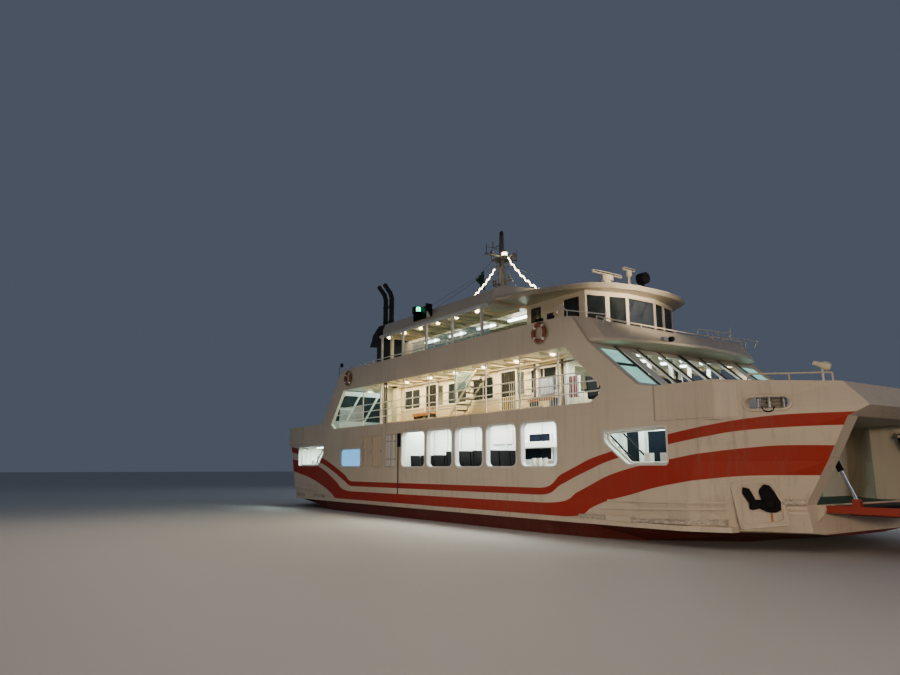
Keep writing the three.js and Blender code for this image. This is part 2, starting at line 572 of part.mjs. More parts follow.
// Sidelight boards on the edges of the canopy
const BOARD = { x0: -1080, x1: 420, y: 4250 + GAP, thick: 50, z0: 8700, z1: 9250 };
const sidelight = join([
  block(BOARD.x0, BOARD.x1, -BOARD.y - BOARD.thick, -BOARD.y, BOARD.z0, BOARD.z1),
  block(BOARD.x1 - 50, BOARD.x1, -BOARD.y - 320, -BOARD.y - 20, BOARD.z0 + 200, BOARD.z1),
  block(BOARD.x0 + 250, BOARD.x0 + 560, -BOARD.y - 260, -BOARD.y - 20, BOARD.z0 + 280, BOARD.z0 + 600),
]);
SIDES.forEach(([name, side]) => addNode(`sidelight_${name}`, onSide(sidelight, side), paint.black));

// Wheelhouse: plan of its outer face, from the aft corner round the front to the centreline
const WHEELHOUSE_PLAN = [[4700, 2500], [7930, 2500], [8200, 1600], [8440, 790]];
const HOUSE_HALF = WHEELHOUSE_PLAN[0][1];
const HOUSE_WALL = 90;
const HOUSE_TOP_Z = 8560;
const HOUSE_WINDOWS_Z = [7330, 8400];
const planRing = (inset) => {
  const star = WHEELHOUSE_PLAN.map(([x, y], i) => [i === 0 ? x + inset : x - inset * 0.8, -y + inset]);
  return [...star, ...star.slice().reverse().map(([x, y]) => [x, -y])];
};
const houseOuter = deckPlate(outline(planRing(0)), SUN_FLOOR_Z, HOUSE_TOP_Z);
const houseInner = deckPlate(outline(planRing(HOUSE_WALL)), SUN_FLOOR_Z - 10, HOUSE_TOP_Z + 10);
const DOOR = { x0: 5700, x1: 6480, z0: SUN_FLOOR_Z + 60, z1: 8250, leaf: 50 };

// A cutter through one facet of the wheelhouse, between two shares of the facet's length
function facetCut([xa, ya], [xb, yb], from, to) {
  const along = new THREE.Vector2(xb - xa, yb - ya);
  const length = along.length();
  const tool = new THREE.BoxGeometry((to - from) * length, 600, HOUSE_WINDOWS_Z[1] - HOUSE_WINDOWS_Z[0]);
  tool.rotateZ(along.angle());
  const middle = (from + to) / 2;
  return tool.translate(xa + along.x * middle, ya + along.y * middle, (HOUSE_WINDOWS_Z[0] + HOUSE_WINDOWS_Z[1]) / 2);
}

// Columns: facet, first share, last share
const HOUSE_PANES = [[0, 0.07, 0.26], [0, 0.647, 0.904], [1, 0.09, 0.9], [2, 0.1, 0.92]];
const houseCuts = SIDES.flatMap(([, side]) => HOUSE_PANES.map(([facet, from, to]) => {
  const [a, b] = [WHEELHOUSE_PLAN[facet], WHEELHOUSE_PLAN[facet + 1]].map(([x, y]) => [x, side * y]);
  return facetCut(a, b, from, to);
}));
houseCuts.push(block(8000, 9000, -710, 710, ...HOUSE_WINDOWS_Z));
houseCuts.push(block(4000, 5000, -1700, -300, ...HOUSE_WINDOWS_Z));
houseCuts.push(block(4000, 5000, 300, 1700, ...HOUSE_WINDOWS_Z));
houseCuts.push(block(DOOR.x0, DOOR.x1, -3000, 3000, DOOR.z0, DOOR.z1));
addNode('wheelhouse', cut(houseOuter, [houseInner, ...houseCuts]), paint.white);

// Wheelhouse doors, hinged at their forward edge
const DOOR_CLEAR = 8;
const DOOR_PANE = { inset: 150, z0: 7330, z1: 8050 };
const doorLeaf = cut(
  block(DOOR.x0 + DOOR_CLEAR, DOOR.x1 - DOOR_CLEAR, -HOUSE_HALF, -HOUSE_HALF + DOOR.leaf,
    DOOR.z0 + DOOR_CLEAR, DOOR.z1 - DOOR_CLEAR),
  [block(DOOR.x0 + DOOR_PANE.inset, DOOR.x1 - DOOR_PANE.inset, -3000, -2000, DOOR_PANE.z0, DOOR_PANE.z1)]);
const HINGE_R = 21;
const HINGE_Y = -HOUSE_HALF - HINGE_R - 2 * GAP;
const HINGE = { heights: [6700, 7900], long: 120, strap: 60 };
const door = join([doorLeaf, ...HINGE.heights.flatMap((z) => [
  rod([DOOR.x1, HINGE_Y, z], [DOOR.x1, HINGE_Y, z + HINGE.long], HINGE_R, 8),
  block(DOOR.x1 - HINGE.strap, DOOR.x1, HINGE_Y - 8, HINGE_Y + 24, z, z + HINGE.long)])]);
SIDES.forEach(([name, side]) => addNode(`wheelhouse_door_${name}`, onSide(door, side), paint.white));

// Wheelhouse roof: plan from the aft edge to the centreline
const ROOF_PLAN = [[4720, 4180], [5750, 3900], [6700, 3640], [7600, 3260], [8400, 2740], [8900, 1900], [9120, 800]];
const roofRing = (inset) => {
  const star = ROOF_PLAN.map(([x, y], i) => [i === 0 ? x : x - inset, -y * (1 - inset / ROOF_PLAN[0][1])]);
  return [...star, ...star.slice().reverse().map(([x, y]) => [x, -y])];
};
const roofAt = (inset, z) => roofRing(inset).map(([x, y]) => [x, y, z]);
// Columns: inset of the ring, height over the top of the walls
const ROOF_LEVELS = [[120, 0], [0, 90], [60, 180], [900, 420]];
const roofSlab = loft(ROOF_LEVELS.map(([inset, up]) => roofAt(inset, HOUSE_TOP_Z + up)));
const RADARS = [
  { name: 'radar_large', x: 7600, y: -900, post: 240, top: 9420, half: 800 },
  { name: 'radar_small', x: 7400, y: 600, post: 120, top: 9880, half: 320 },
];
const ROOF_TOP_Z = HOUSE_TOP_Z + 420;
const radarPosts = RADARS.flatMap(({ x, y, post, top }) => [
  rod([x, y, ROOF_TOP_Z - 60], [x, y, top - 180], post * 0.6, 10),
  rod([x, y, top - 200], [x, y, top], post, 10),
]);
addNode('wheelhouse_roof', join([roofSlab, ...radarPosts]), paint.white);
RADARS.forEach(({ name, x, y, top, half }) => {
  const arm = block(x - 60, x + 60, y - half, y + half, top + 30, top + 150);
  addNode(name, join([arm, rod([x, y, top + 2 * GAP], [x, y, top + 60], 90, 10)]), paint.white);
});

// Searchlight on the wheelhouse roof
const SEARCHLIGHT = { x: 8080, y: 600, z: 9440, r: 230, long: 340, postR: 60 };
const searchlight = join([
  rod([SEARCHLIGHT.x, SEARCHLIGHT.y, ROOF_TOP_Z], [SEARCHLIGHT.x, SEARCHLIGHT.y, SEARCHLIGHT.z],
    SEARCHLIGHT.postR, 10),
  rod([SEARCHLIGHT.x - SEARCHLIGHT.long / 2, SEARCHLIGHT.y, SEARCHLIGHT.z],
    [SEARCHLIGHT.x + SEARCHLIGHT.long / 2, SEARCHLIGHT.y, SEARCHLIGHT.z], SEARCHLIGHT.r, 14),
]);
addNode('searchlight', searchlight, paint.black);

// Mast on the canopy
const MAST = { x: 100, foot: CANOPY_Z + CANOPY_RISE + GAP, top: 13300 };
const mastPost = new THREE.CylinderGeometry(110, 210, MAST.top - MAST.foot, 10)
  .rotateX(Math.PI / 2).translate(MAST.x, 0, (MAST.top + MAST.foot) / 2);
const mast = join([
  mastPost,
  block(MAST.x - 350, MAST.x + 350, -350, 350, 12050, 12130),
  block(MAST.x - 40, MAST.x + 40, -1000, 1000, 12200, 12280),
  block(MAST.x - 700, MAST.x + 700, -40, 40, 10900, 10980),
  rod([MAST.x, 0, MAST.top - 100], [MAST.x, 0, MAST.top + 250], 60),
]);
addNode('mast', mast, paint.black);

// Twin exhaust pipes behind the canopy, in a casing whose head flares aft
const EXHAUST = { x: -5760, y: 2750, r: 130, apart: 620, bend: 11000 };
// Columns: how far aft, and height above the bend
const EXHAUST_TIP = [[0, 0], [190, 350], [760, 850]];
const exhaustPipe = (x) => [
  rod([x, -EXHAUST.y, SUN_FLOOR_Z], [x, -EXHAUST.y, EXHAUST.bend + 30], EXHAUST.r, 12),
  ...EXHAUST_TIP.slice(1).map(([back, up], i) => rod(
    [x - EXHAUST_TIP[i][0], -EXHAUST.y, EXHAUST.bend + EXHAUST_TIP[i][1] - 30],
    [x - back, -EXHAUST.y, EXHAUST.bend + up], EXHAUST.r * (1 - 0.03 * (i + 1)), 12)),
];
const CASING = { half: 400, foreX: -4900, aftX: -6550, top: 9500 };
const casingShape = outline([
  [CASING.foreX, SUN_FLOOR_Z], [CASING.foreX, CASING.top - 200], [CASING.foreX - 500, CASING.top],
  [-6400, CASING.top], [-7050, 9080], [-7100, 8880], [-7350, 8520], [CASING.aftX, 8450], [CASING.aftX, SUN_FLOOR_Z]]);
const exhaust = join([
  ...exhaustPipe(EXHAUST.x), ...exhaustPipe(EXHAUST.x - EXHAUST.apart),
  sidePlate(casingShape, -EXHAUST.y - CASING.half, -EXHAUST.y + CASING.half),
]);
addNode('exhaust_stbd', exhaust, paint.black);

// Ramps. The shape is drawn lowered and level, then turned about its hinge.
// Two ears stand on each side of the rod's eye, so that the eye can drift between them.
const EAR_OFFSETS = [-70, 70];
const EAR_HALF = 16;
const RAISED = 56;
const rampPlate = join([
  block(RAMP.x + 60, RAMP.x + RAMP.length, -RAMP.half, RAMP.half, RAMP.z - 90, RAMP.z + 60),
  block(RAMP.x, RAMP.x + 120, -RAMP.half, RAMP.half, RAMP.z - 70, RAMP.z + 60),
  rod([RAMP.x, -RAMP.half, RAMP.z], [RAMP.x, RAMP.half, RAMP.z], RAMP.knuckle, 12),
  ...SIDES.flatMap(([, side]) => {
    const y = side * CYLINDER.y;
    const out = RAMP.x + RAMP_PIN.out;
    const up = RAMP.z + RAMP_PIN.up;
    return EAR_OFFSETS.flatMap((offset) => [
      block(out - 90, out + 90, y + offset - EAR_HALF, y + offset + EAR_HALF, RAMP.z, up + 60),
      rod([out, y + offset, up], [out, y + offset * 1.45, up], CYLINDER.pinR, 12),
    ]);
  }),
]);

// Turns a shape about a line along y through x and z, so that its outer end rises
function raise(geometry, x, z, degrees) {
  return geometry.clone().translate(-x, 0, -z).rotateY(-THREE.MathUtils.degToRad(degrees)).translate(x, 0, z);
}

addNode('bow_ramp', rampPlate, paint.ramp);
addNode('stern_ramp', mirrorX(raise(rampPlate, RAMP.x, RAMP.z, RAISED)), paint.ramp);

// Ramp cylinders: the barrel hangs on the quarter, the rod reaches the ramp's pin
function pinAt(degrees) {
  const turn = THREE.MathUtils.degToRad(degrees);
  const [dx, dz] = [RAMP_PIN.out, RAMP_PIN.up];
  return [RAMP.x + dx * Math.cos(turn) - dz * Math.sin(turn), RAMP.z + dx * Math.sin(turn) + dz * Math.cos(turn)];
}

const EYE_CLEAR = 0.4;
const ROD_CLEAR = 0.6;
function eye(x, z, y) {
  const ring = sidePlate(outline(Array.from({ length: 12 }, (_, i) => {
    const angle = (i * Math.PI) / 6;
    return [x + CYLINDER.eye * Math.cos(angle), z + CYLINDER.eye * Math.sin(angle)];
  })), y - 40, y + 40);
  const bore = rod([x, y - 100, z], [x, y + 100, z], CYLINDER.pinR / Math.cos(Math.PI / PIN_SIDES) + EYE_CLEAR, PIN_SIDES);
  return { ring, bore };
}

const BARREL = { start: 60, length: 1020, head: 90 };
const ROD_LENGTH = 1040;
function cylinderParts(degrees) {
  const [px, pz] = pinAt(degrees);
  const y = -CYLINDER.y;
  const along = new THREE.Vector3(px - CYLINDER.x, 0, pz - CYLINDER.z);
  const reach = along.length();
  along.normalize();
  const at = (distance) => [CYLINDER.x + along.x * distance, y, CYLINDER.z + along.z * distance];
  const top = eye(CYLINDER.x, CYLINDER.z, y);
  const bottom = eye(px, pz, y);
  const barrel = cut(join([top.ring, rod(at(BARREL.start), at(BARREL.start + BARREL.length), CYLINDER.barrelR, 12)]),
    [top.bore, rod(at(BARREL.start + BARREL.head), at(BARREL.start + BARREL.length + 50),
      CYLINDER.rodR + ROD_CLEAR, 12)]);
  const piston = cut(join([bottom.ring, rod(at(reach - ROD_LENGTH), at(reach - 60), CYLINDER.rodR, 12)]), [bottom.bore]);
  return { barrel, piston };
}

ENDS.forEach(([place, end]) => {
  const { barrel, piston } = cylinderParts(end > 0 ? 0 : RAISED);
  SIDES.forEach(([name, side]) => {
    addNode(`${place}_cylinder_${name}`, onEnd(onSide(barrel, side), end), paint.black);
    addNode(`${place}_rod_${name}`, onEnd(onSide(piston, side), end), paint.steel);
  });
});

// Propellers and rudders, one of each at both ends
const PROPELLER = { r: 620, hub: 150, hubLength: 300, blades: 4 };
const PROPELLER_X = SKEG.outer + TUBE_OUT + 2 * GAP + PROPELLER.hubLength / 2;
const blade = () => {
  const shape = new THREE.Shape();
  shape.moveTo(60, -60);
  shape.bezierCurveTo(250, -260, 520, -260, PROPELLER.r, -40);
  shape.bezierCurveTo(560, 220, 250, 230, 60, 60);
  const plate = new THREE.ExtrudeGeometry(shape, { depth: 30, bevelEnabled: false, curveSegments: 5 });
  return plate.translate(0, 0, -15).rotateX(0.6);
};
const propellerSolid = () => {
  const blades = Array.from({ length: PROPELLER.blades }, (_, i) => blade()
    .rotateY((i * 2 * Math.PI) / PROPELLER.blades));
  const hub = new THREE.CylinderGeometry(90, PROPELLER.hub, PROPELLER.hubLength, 12);
  const wheel = join([hub, ...blades]);
  return wheel.rotateZ(-Math.PI / 2);
};
const propeller = propellerSolid().translate(PROPELLER_X, 0, SHAFT_Z);
addNode('propeller_bow', propeller, paint.bronze);
addNode('propeller_stern', mirrorX(propeller), paint.bronze);

const RUDDER = { x: 12550, back: 350, front: 800, half: 70, foot: -1850, head: -420 };
const rudderHalf = [[RUDDER.x - RUDDER.back, RUDDER.half * 0.5], [RUDDER.x, RUDDER.half], [RUDDER.x + RUDDER.front, 15]];
const rudderBlade = deckPlate(
  outline([...rudderHalf.map(([x, y]) => [x, -y]), ...rudderHalf.slice().reverse()]), RUDDER.foot, RUDDER.head);
const STOCK_R = 65;
const stockTop = bottomAt(RUDDER.x - STOCK_R) - GAP;
const rudder = join([rudderBlade, rod([RUDDER.x, 0, RUDDER.head - 50], [RUDDER.x, 0, stockTop], STOCK_R, 12)]);
addNode('rudder_bow', rudder, paint.hull);
addNode('rudder_stern', mirrorX(rudder), paint.hull);

export default ferry;
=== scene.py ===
"""Dresses a double-ended passenger and vehicle ferry around its construction model, lit from inside at dusk.

Metres. +X is forward, +Y is to port, +Z is up, and the water is at z = 0.
"""
import math

import bmesh
import bpy
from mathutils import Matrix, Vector


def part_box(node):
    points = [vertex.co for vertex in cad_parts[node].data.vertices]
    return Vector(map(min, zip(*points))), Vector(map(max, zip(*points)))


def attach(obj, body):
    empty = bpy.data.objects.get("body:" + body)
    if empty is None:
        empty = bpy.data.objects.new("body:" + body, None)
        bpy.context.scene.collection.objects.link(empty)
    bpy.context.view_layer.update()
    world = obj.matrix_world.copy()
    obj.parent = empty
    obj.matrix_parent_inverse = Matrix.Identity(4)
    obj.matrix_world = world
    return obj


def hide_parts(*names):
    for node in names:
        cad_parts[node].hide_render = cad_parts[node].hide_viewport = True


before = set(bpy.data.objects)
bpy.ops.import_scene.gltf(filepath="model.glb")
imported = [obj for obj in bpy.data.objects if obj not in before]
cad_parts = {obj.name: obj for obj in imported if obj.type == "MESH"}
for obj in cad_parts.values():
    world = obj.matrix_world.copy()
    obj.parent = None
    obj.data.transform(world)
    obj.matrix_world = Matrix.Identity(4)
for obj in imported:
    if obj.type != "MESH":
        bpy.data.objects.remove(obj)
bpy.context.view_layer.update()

bl_info = {
    "name": "Double-ended ferry",
    "version": (1, 0, 0),
    "blender": (4, 5, 0),
    "location": "3D View > Sidebar > Ferry",
    "description": "Builds the visible pieces and finishes of a double-ended ferry",
    "category": "Object",
}

# Levels and breadths, read from the frame
SIDE_Y = -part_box("side_wall_stbd")[0].y
INNER_Y = -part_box("side_wall_stbd")[1].y
CAR_DECK_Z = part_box("side_wall_stbd")[0].z
CAR_CEILING_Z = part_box("saloon_deck")[0].z
SALOON_FLOOR_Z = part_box("saloon_deck")[1].z
SILL_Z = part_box("side_wall_stbd")[1].z
SUN_DECK_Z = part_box("sun_deck")[0].z
SUN_FLOOR_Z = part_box("sun_deck")[1].z
BAND_TOP_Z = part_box("sun_band_stbd")[1].z
BAND_AFT_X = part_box("sun_band_stbd")[0].x
CANOPY_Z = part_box("canopy")[0].z
CANOPY_AFT_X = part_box("canopy")[0].x
CANOPY_FORE_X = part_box("canopy")[1].x
LANE_WALL_Y = -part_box("lane_wall_stbd")[0].y
SALOON_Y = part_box("saloon")[1].y
SALOON_AFT_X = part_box("saloon")[0].x
SALOON_FORE_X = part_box("saloon")[1].x
MAST_TOP_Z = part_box("mast")[1].z
END_DECK_Z = 3.55
SIDES = (("stbd", -1), ("port", 1))
ENDS = (("bow", 1), ("stern", -1))

# Side openings: first station, last station, bottom, top
SIDE_WINDOWS = (
    (-1.46, 0.43, 2.18, 3.68),
    (0.59, 2.44, 2.18, 3.68),
    (2.65, 4.45, 2.18, 3.68),
    (4.66, 6.40, 2.18, 3.68),
    (6.65, 8.49, 2.18, 3.68),
)
OFFICE_WINDOW = (-7.50, -5.36, 2.21, 3.06)
WINDOW_CORNER = 0.26
FORE_PORT = ((10.54, 3.23), (10.54, 2.92), (11.44, 2.23), (12.88, 2.23), (12.88, 3.29))
AFT_PORT = ((-12.95, 3.29), (-12.90, 2.26), (-10.26, 2.26), (-9.60, 2.90), (-9.60, 3.34))
PORT_CORNER = 0.12
# Recessed leaves in the side: first station, last station
RECESSES = ((-5.15, -4.35), (-4.20, -3.30), (-2.90, -2.35), (-2.25, -1.85))
RECESS_Z = (2.18, 3.64)
RECESS_DEEP = 0.06

# Stripes: station, top and bottom of the upper stripe, top and bottom of the lower stripe
STRIPES = (
    (-17.2, 3.48, 3.17, 2.69, 1.95),
    (-15.4, 3.42, 3.13, 2.68, 1.95),
    (-14.1, 3.34, 3.05, 2.63, 1.95),
    (-12.6, 3.17, 2.83, 2.52, 1.80),
    (-11.0, 2.93, 2.62, 2.36, 1.54),
    (-9.5, 2.60, 2.30, 2.02, 1.17),
    (-8.4, 2.27, 1.97, 1.62, 0.80),
    (-7.9, 2.10, 1.80, 1.41, 0.61),
    (-7.0, 1.79, 1.48, 1.05, 0.61),
    (-6.1, 1.48, 1.25, 1.00, 0.61),
    (7.5, 1.48, 1.25, 1.00, 0.61),
    (8.6, 1.92, 1.60, 1.07, 0.61),
    (9.3, 2.18, 1.87, 1.37, 0.66),
    (9.9, 2.40, 2.08, 1.61, 0.93),
    (10.7, 2.60, 2.34, 1.92, 1.19),
    (11.5, 2.78, 2.51, 2.12, 1.37),
    (12.3, 2.94, 2.66, 2.27, 1.57),
    (13.0, 3.07, 2.79, 2.38, 1.70),
    (14.0, 3.22, 2.94, 2.53, 1.85),
    (14.8, 3.36, 3.08, 2.63, 1.93),
    (15.8, 3.47, 3.15, 2.70, 1.95),
    (17.2, 3.49, 3.18, 2.67, 1.95),
)
STRIPE_END_X = 17.3
STRIPE_HALF_LENGTH = 17.2
STRIPE_TOP_Z = 4.0
STRIPE_LEAST_Y = 2.6
BOOT_TOP_Z = 0.44


class FerrySizes(bpy.types.PropertyGroup):
    """Sizes of the ferry's trim"""

    frame_width: bpy.props.FloatProperty(
        name="Window frame width", description="Face width of the frames round the side windows",
        default=0.05, min=0.01, max=0.2, unit="LENGTH")
    baluster_pitch: bpy.props.FloatProperty(
        name="Baluster pitch", description="Distance between the balusters of the promenade",
        default=0.12, min=0.05, max=0.5, unit="LENGTH")
    beam_pitch: bpy.props.FloatProperty(
        name="Beam pitch", description="Distance between the cross beams under the canopy",
        default=0.65, min=0.2, max=2.0, unit="LENGTH")
    lamp_power: bpy.props.FloatProperty(
        name="Lamp power", description="Power of the lights inside, as a share of full power",
        default=1.0, min=0.0, max=5.0, subtype="FACTOR")


def colour_setting(name, description, *colour):
    return bpy.props.FloatVectorProperty(
        name=name, description=description, subtype="COLOR", size=4, min=0.0, max=1.0, default=(*colour, 1.0))


class FerryColours(bpy.types.PropertyGroup):
    """Colours of the ferry's paint"""

    cream: colour_setting("Cream", "Paint of the sides and the superstructure", 0.66, 0.565, 0.44)
    red: colour_setting("Red", "Paint of the stripes", 0.37, 0.015, 0.003)
    boot: colour_setting("Boot top", "Paint of the hull at the water and below", 0.12, 0.012, 0.010)
    deck: colour_setting("Deck", "Paint of the decks", 0.075, 0.135, 0.105)


# Shapes
UP = (0, 0, 1)
TURN = 2 * math.pi


def linked(name, data):
    """A new object, put into the scene"""
    made = bpy.data.objects.new(name, data)
    bpy.context.scene.collection.objects.link(made)
    return made


def circle(centre, across, up, radius, sides):
    """The corners of a round section, in the plane of two directions"""
    turns = [TURN * k / sides for k in range(sides)]
    return [centre + radius * (across * math.cos(t) + up * math.sin(t)) for t in turns]


class Shape:
    """Gathers the faces of one piece, and the name of the finish of each"""

    def __init__(self):
        self.points = []
        self.faces = []
        self.marks = []
        self.finishes = []

    def add(self, points, faces, finish=None):
        if finish not in self.finishes:
            self.finishes.append(finish)
        start = len(self.points)
        self.points.extend(Vector(p) for p in points)
        self.faces.extend([start + i for i in face] for face in faces)
        self.marks.extend([self.finishes.index(finish)] * len(faces))
        return self

    def box(self, low, high, finish=None):
        corners = [(x, y, z) for z in (low[2], high[2]) for y in (low[1], high[1]) for x in (low[0], high[0])]
        faces = [(0, 2, 3, 1), (4, 5, 7, 6), (0, 1, 5, 4), (2, 6, 7, 3), (0, 4, 6, 2), (1, 3, 7, 5)]
        return self.add(corners, faces, finish)

    def boxes(self, finish, *extents):
        """Boxes of one finish, each by its first and last x, y and z"""
        for x0, x1, y0, y1, z0, z1 in extents:
            self.box((x0, y0, z0), (x1, y1, z1), finish)

    def slab(self, rim, offset, finish=None):
        """A flat closed outline, given thickness"""
        count = len(rim)
        rim = [Vector(p) for p in rim]
        points = rim + [p + Vector(offset) for p in rim]
        faces = [list(range(count))[::-1], [count + i for i in range(count)]]
        faces += [(i, (i + 1) % count, count + (i + 1) % count, count + i) for i in range(count)]
        return self.add(points, faces, finish)

    def rim(self, outer, inner, offset, finish):
        """A flat ring between two outlines of equal length, given thickness"""
        count = len(outer)
        front = [Vector(p) for p in (*outer, *inner)]
        points = front + [p + Vector(offset) for p in front]
        faces = []
        for i in range(count):
            j = (i + 1) % count
            faces += [
                (i, j, count + j, count + i),
                (2 * count + i, 3 * count + i, 3 * count + j, 2 * count + j),
                (i, 2 * count + i, 2 * count + j, j),
                (count + i, count + j, 3 * count + j, 3 * count + i),
            ]
        self.add(points, faces, finish)

    def loft(self, sections, finish=None, closed=False):
        """A solid through sections of equally many corners; closed joins the last to the first"""
        rings, count = len(sections), len(sections[0])
        faces = []
        for i in range(rings if closed else rings - 1):
            j = (i + 1) % rings
            for k in range(count):
                m = (k + 1) % count
                faces.append((i * count + k, i * count + m, j * count + m, j * count + k))
        if not closed:
            faces.append(tuple(range(count))[::-1])
            faces.append(tuple((rings - 1) * count + k for k in range(count)))
        return self.add([p for section in sections for p in section], faces, finish)

    def tube(self, path, radius, finish=None, sides=8, closed=False):
        """A round bar along a path"""
        path = [Vector(p) for p in path]
        count = len(path)
        sections = []
        across = None
        for i, place in enumerate(path):
            before = path[(i - 1) % count] if closed or i else place
            after = path[(i + 1) % count] if closed or i + 1 < count else place
            along = (after - before).normalized()
            if across is None:
                across = along.orthogonal()
            across = (across - along * across.dot(along)).normalized()
            sections.append(circle(place, across, along.cross(across), radius, sides))
        return self.loft(sections, finish, closed)

    def rod(self, start, end, radius, finish=None, sides=10):
        return self.tube([start, end], radius, finish, sides)

    def turned(self, profile, centre=(0, 0, 0), axis=UP, finish=None, sides=24):
        """A turned shape: profile holds pairs of distance along the axis and radius"""
        axis = Vector(axis).normalized()
        across = axis.orthogonal().normalized()
        up = axis.cross(across)
        sections = [circle(Vector(centre) + axis * out, across, up, radius, sides) for out, radius in profile]
        return self.loft(sections, finish)

    def mirrored(self, axis):
        """Adds the mirror image of all that the shape holds; axis is 0 for fore and aft, 1 for the sides"""
        start = len(self.points)
        for place in list(self.points):
            twin = place.copy()
            twin[axis] = -twin[axis]
            self.points.append(twin)
        self.faces += [[start + i for i in reversed(face)] for face in list(self.faces)]
        self.marks += list(self.marks)
        return self

    def place(self, name, body="ship", slot="white_paint", replaces=(), sharp=35.0):
        """Makes the piece, and ties it to its body; the slot is not used"""
        made = bpy.data.meshes.new(name)
        made.from_pydata([tuple(p) for p in self.points], [], self.faces)
        for finish in self.finishes:
            made.materials.append(FINISH[finish])
        made.polygons.foreach_set("material_index", self.marks)
        work = bmesh.new()
        work.from_mesh(made)
        bmesh.ops.recalc_face_normals(work, faces=work.faces)
        work.to_mesh(made)
        work.free()
        made.polygons.foreach_set("use_smooth", [True] * len(made.polygons))
        made.set_sharp_from_angle(angle=math.radians(sharp))
        piece = linked(name, made)
        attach(piece, body)
        if replaces:
            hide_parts(*replaces)
        return piece


def rounded(corners, radius, steps=5):
    """A closed outline with rounded corners, in two coordinates"""
    corners = [Vector(c) for c in corners]
    outline = []
    for i, corner in enumerate(corners):
        start = corner + (corners[i - 1] - corner).normalized() * radius
        end = corner + (corners[(i + 1) % len(corners)] - corner).normalized() * radius
        for k in range(steps + 1):
            t = k / steps
            outline.append((1 - t) ** 2 * start + 2 * t * (1 - t) * corner + t * t * end)
    return outline


def rectangle(u0, u1, v0, v1, radius, steps=5):
    return rounded([(u0, v0), (u1, v0), (u1, v1), (u0, v1)], radius, steps)


def grown(outline, by):
    """The outline, moved outwards by a distance"""
    area = sum(a.x * b.y - b.x * a.y for a, b in zip(outline, outline[1:] + outline[:1]))
    turn = 1 if area > 0 else -1
    moved = []
    for i, place in enumerate(outline):
        before = (place - outline[i - 1]).normalized()
        after = (outline[(i + 1) % len(outline)] - place).normalized()
        across = before + after
        normal = Vector((across.y, -across.x)).normalized() * turn
        lean = max(0.4, abs(normal.dot(Vector((before.y, -before.x)))))
        moved.append(place + normal * by / lean)
    return moved


def on_side(outline, y):
    return [(u, y, v) for u, v in outline]


# Geometry trees
class Tree:
    """Builds one geometry tree with named inputs"""

    def __init__(self, name, inputs):
        self.group = bpy.data.node_groups.new(name, "GeometryNodeTree")
        face = self.group.interface
        self.sockets = {}
        for label, kind in inputs:
            made = face.new_socket(label, in_out="INPUT", socket_type="NodeSocket" + kind)
            self.sockets[label] = made.identifier
        face.new_socket("Geometry", in_out="OUTPUT", socket_type="NodeSocketGeometry")
        self.start = self.node("NodeGroupInput")
        self.end = self.node("NodeGroupOutput")

    def node(self, kind, **settings):
        made = self.group.nodes.new(kind)
        for label, value in settings.items():
            setattr(made, label, value)
        return made

    def join(self, *links):
        """Joins nodes: each link holds a node, its output, the next node and its input"""
        for giver, out, taker, into in links:
            self.group.links.new(giver.outputs[out], taker.inputs[into])

    def run(self, shape, finish, **values):
        """Evaluates the tree once, and puts the plain faces that it makes into a shape"""
        carrier = linked("carrier", bpy.data.meshes.new("carrier"))
        modifier = carrier.modifiers.new("tree", "NODES")
        modifier.node_group = self.group
        for label, value in values.items():
            modifier[self.sockets[label]] = value
        modifier[self.sockets["Finish"]] = FINISH[finish]
        graph = bpy.context.evaluated_depsgraph_get()
        made = bpy.data.meshes.new_from_object(carrier.evaluated_get(graph))
        carrier.modifiers.clear()
        shape.add([v.co for v in made.vertices], [list(p.vertices) for p in made.polygons], finish)
        bpy.data.meshes.remove(made)
        bpy.data.objects.remove(carrier)


def copying_tree(name, inputs, lay_points):
    """A tree that repeats a pattern at the points that lay_points makes"""
    tree = Tree(name, [("Pattern", "Object"), *inputs, ("Finish", "Material")])
    points, label = lay_points(tree)
    pattern = tree.node("GeometryNodeObjectInfo")
    copies = tree.node("GeometryNodeInstanceOnPoints")
    real = tree.node("GeometryNodeRealizeInstances")
    paint = tree.node("GeometryNodeSetMaterial")
    tree.join(
        (tree.start, "Pattern", pattern, "Object"), (pattern, "Geometry", copies, "Instance"),
        (points, label, copies, "Points"), (copies, "Instances", real, "Geometry"),
        (real, "Geometry", paint, "Geometry"), (tree.start, "Finish", paint, "Material"),
        (paint, "Geometry", tree.end, "Geometry"))
    return tree


def straight_points(tree):
    line = tree.node("GeometryNodeMeshLine", mode="OFFSET", count_mode="TOTAL")
    tree.join((tree.start, "Count", line, "Count"), (tree.start, "Start", line, "Start Location"),
              (tree.start, "Step", line, "Offset"))
    return line, "Mesh"


def path_points(tree):
    path = tree.node("GeometryNodeObjectInfo")
    curve = tree.node("GeometryNodeMeshToCurve")
    places = tree.node("GeometryNodeCurveToPoints", mode="LENGTH")
    tree.join((tree.start, "Path", path, "Object"), (path, "Geometry", curve, "Mesh"),
              (curve, "Curve", places, "Curve"), (tree.start, "Spacing", places, "Length"))
    return places, "Points"


TREES = {}


def loose(name, points, edges, faces):
    """A plain mesh object: the floor, or a helper that a tree reads and that is removed afterwards"""
    mesh = bpy.data.meshes.new(name)
    mesh.from_pydata([tuple(p) for p in points], edges, faces)
    return linked(name, mesh)


def row(shape, pattern, start, step, count, finish):
    """Adds copies of the pattern's faces to the shape, in a row"""
    if "row" not in TREES:
        TREES["row"] = copying_tree(
            "straight row", [("Count", "Int"), ("Start", "Vector"), ("Step", "Vector")], straight_points)
    helper = loose("pattern", pattern.points, [], pattern.faces)
    TREES["row"].run(shape, finish, Pattern=helper, Count=count, Start=tuple(start), Step=tuple(step))
    bpy.data.objects.remove(helper)


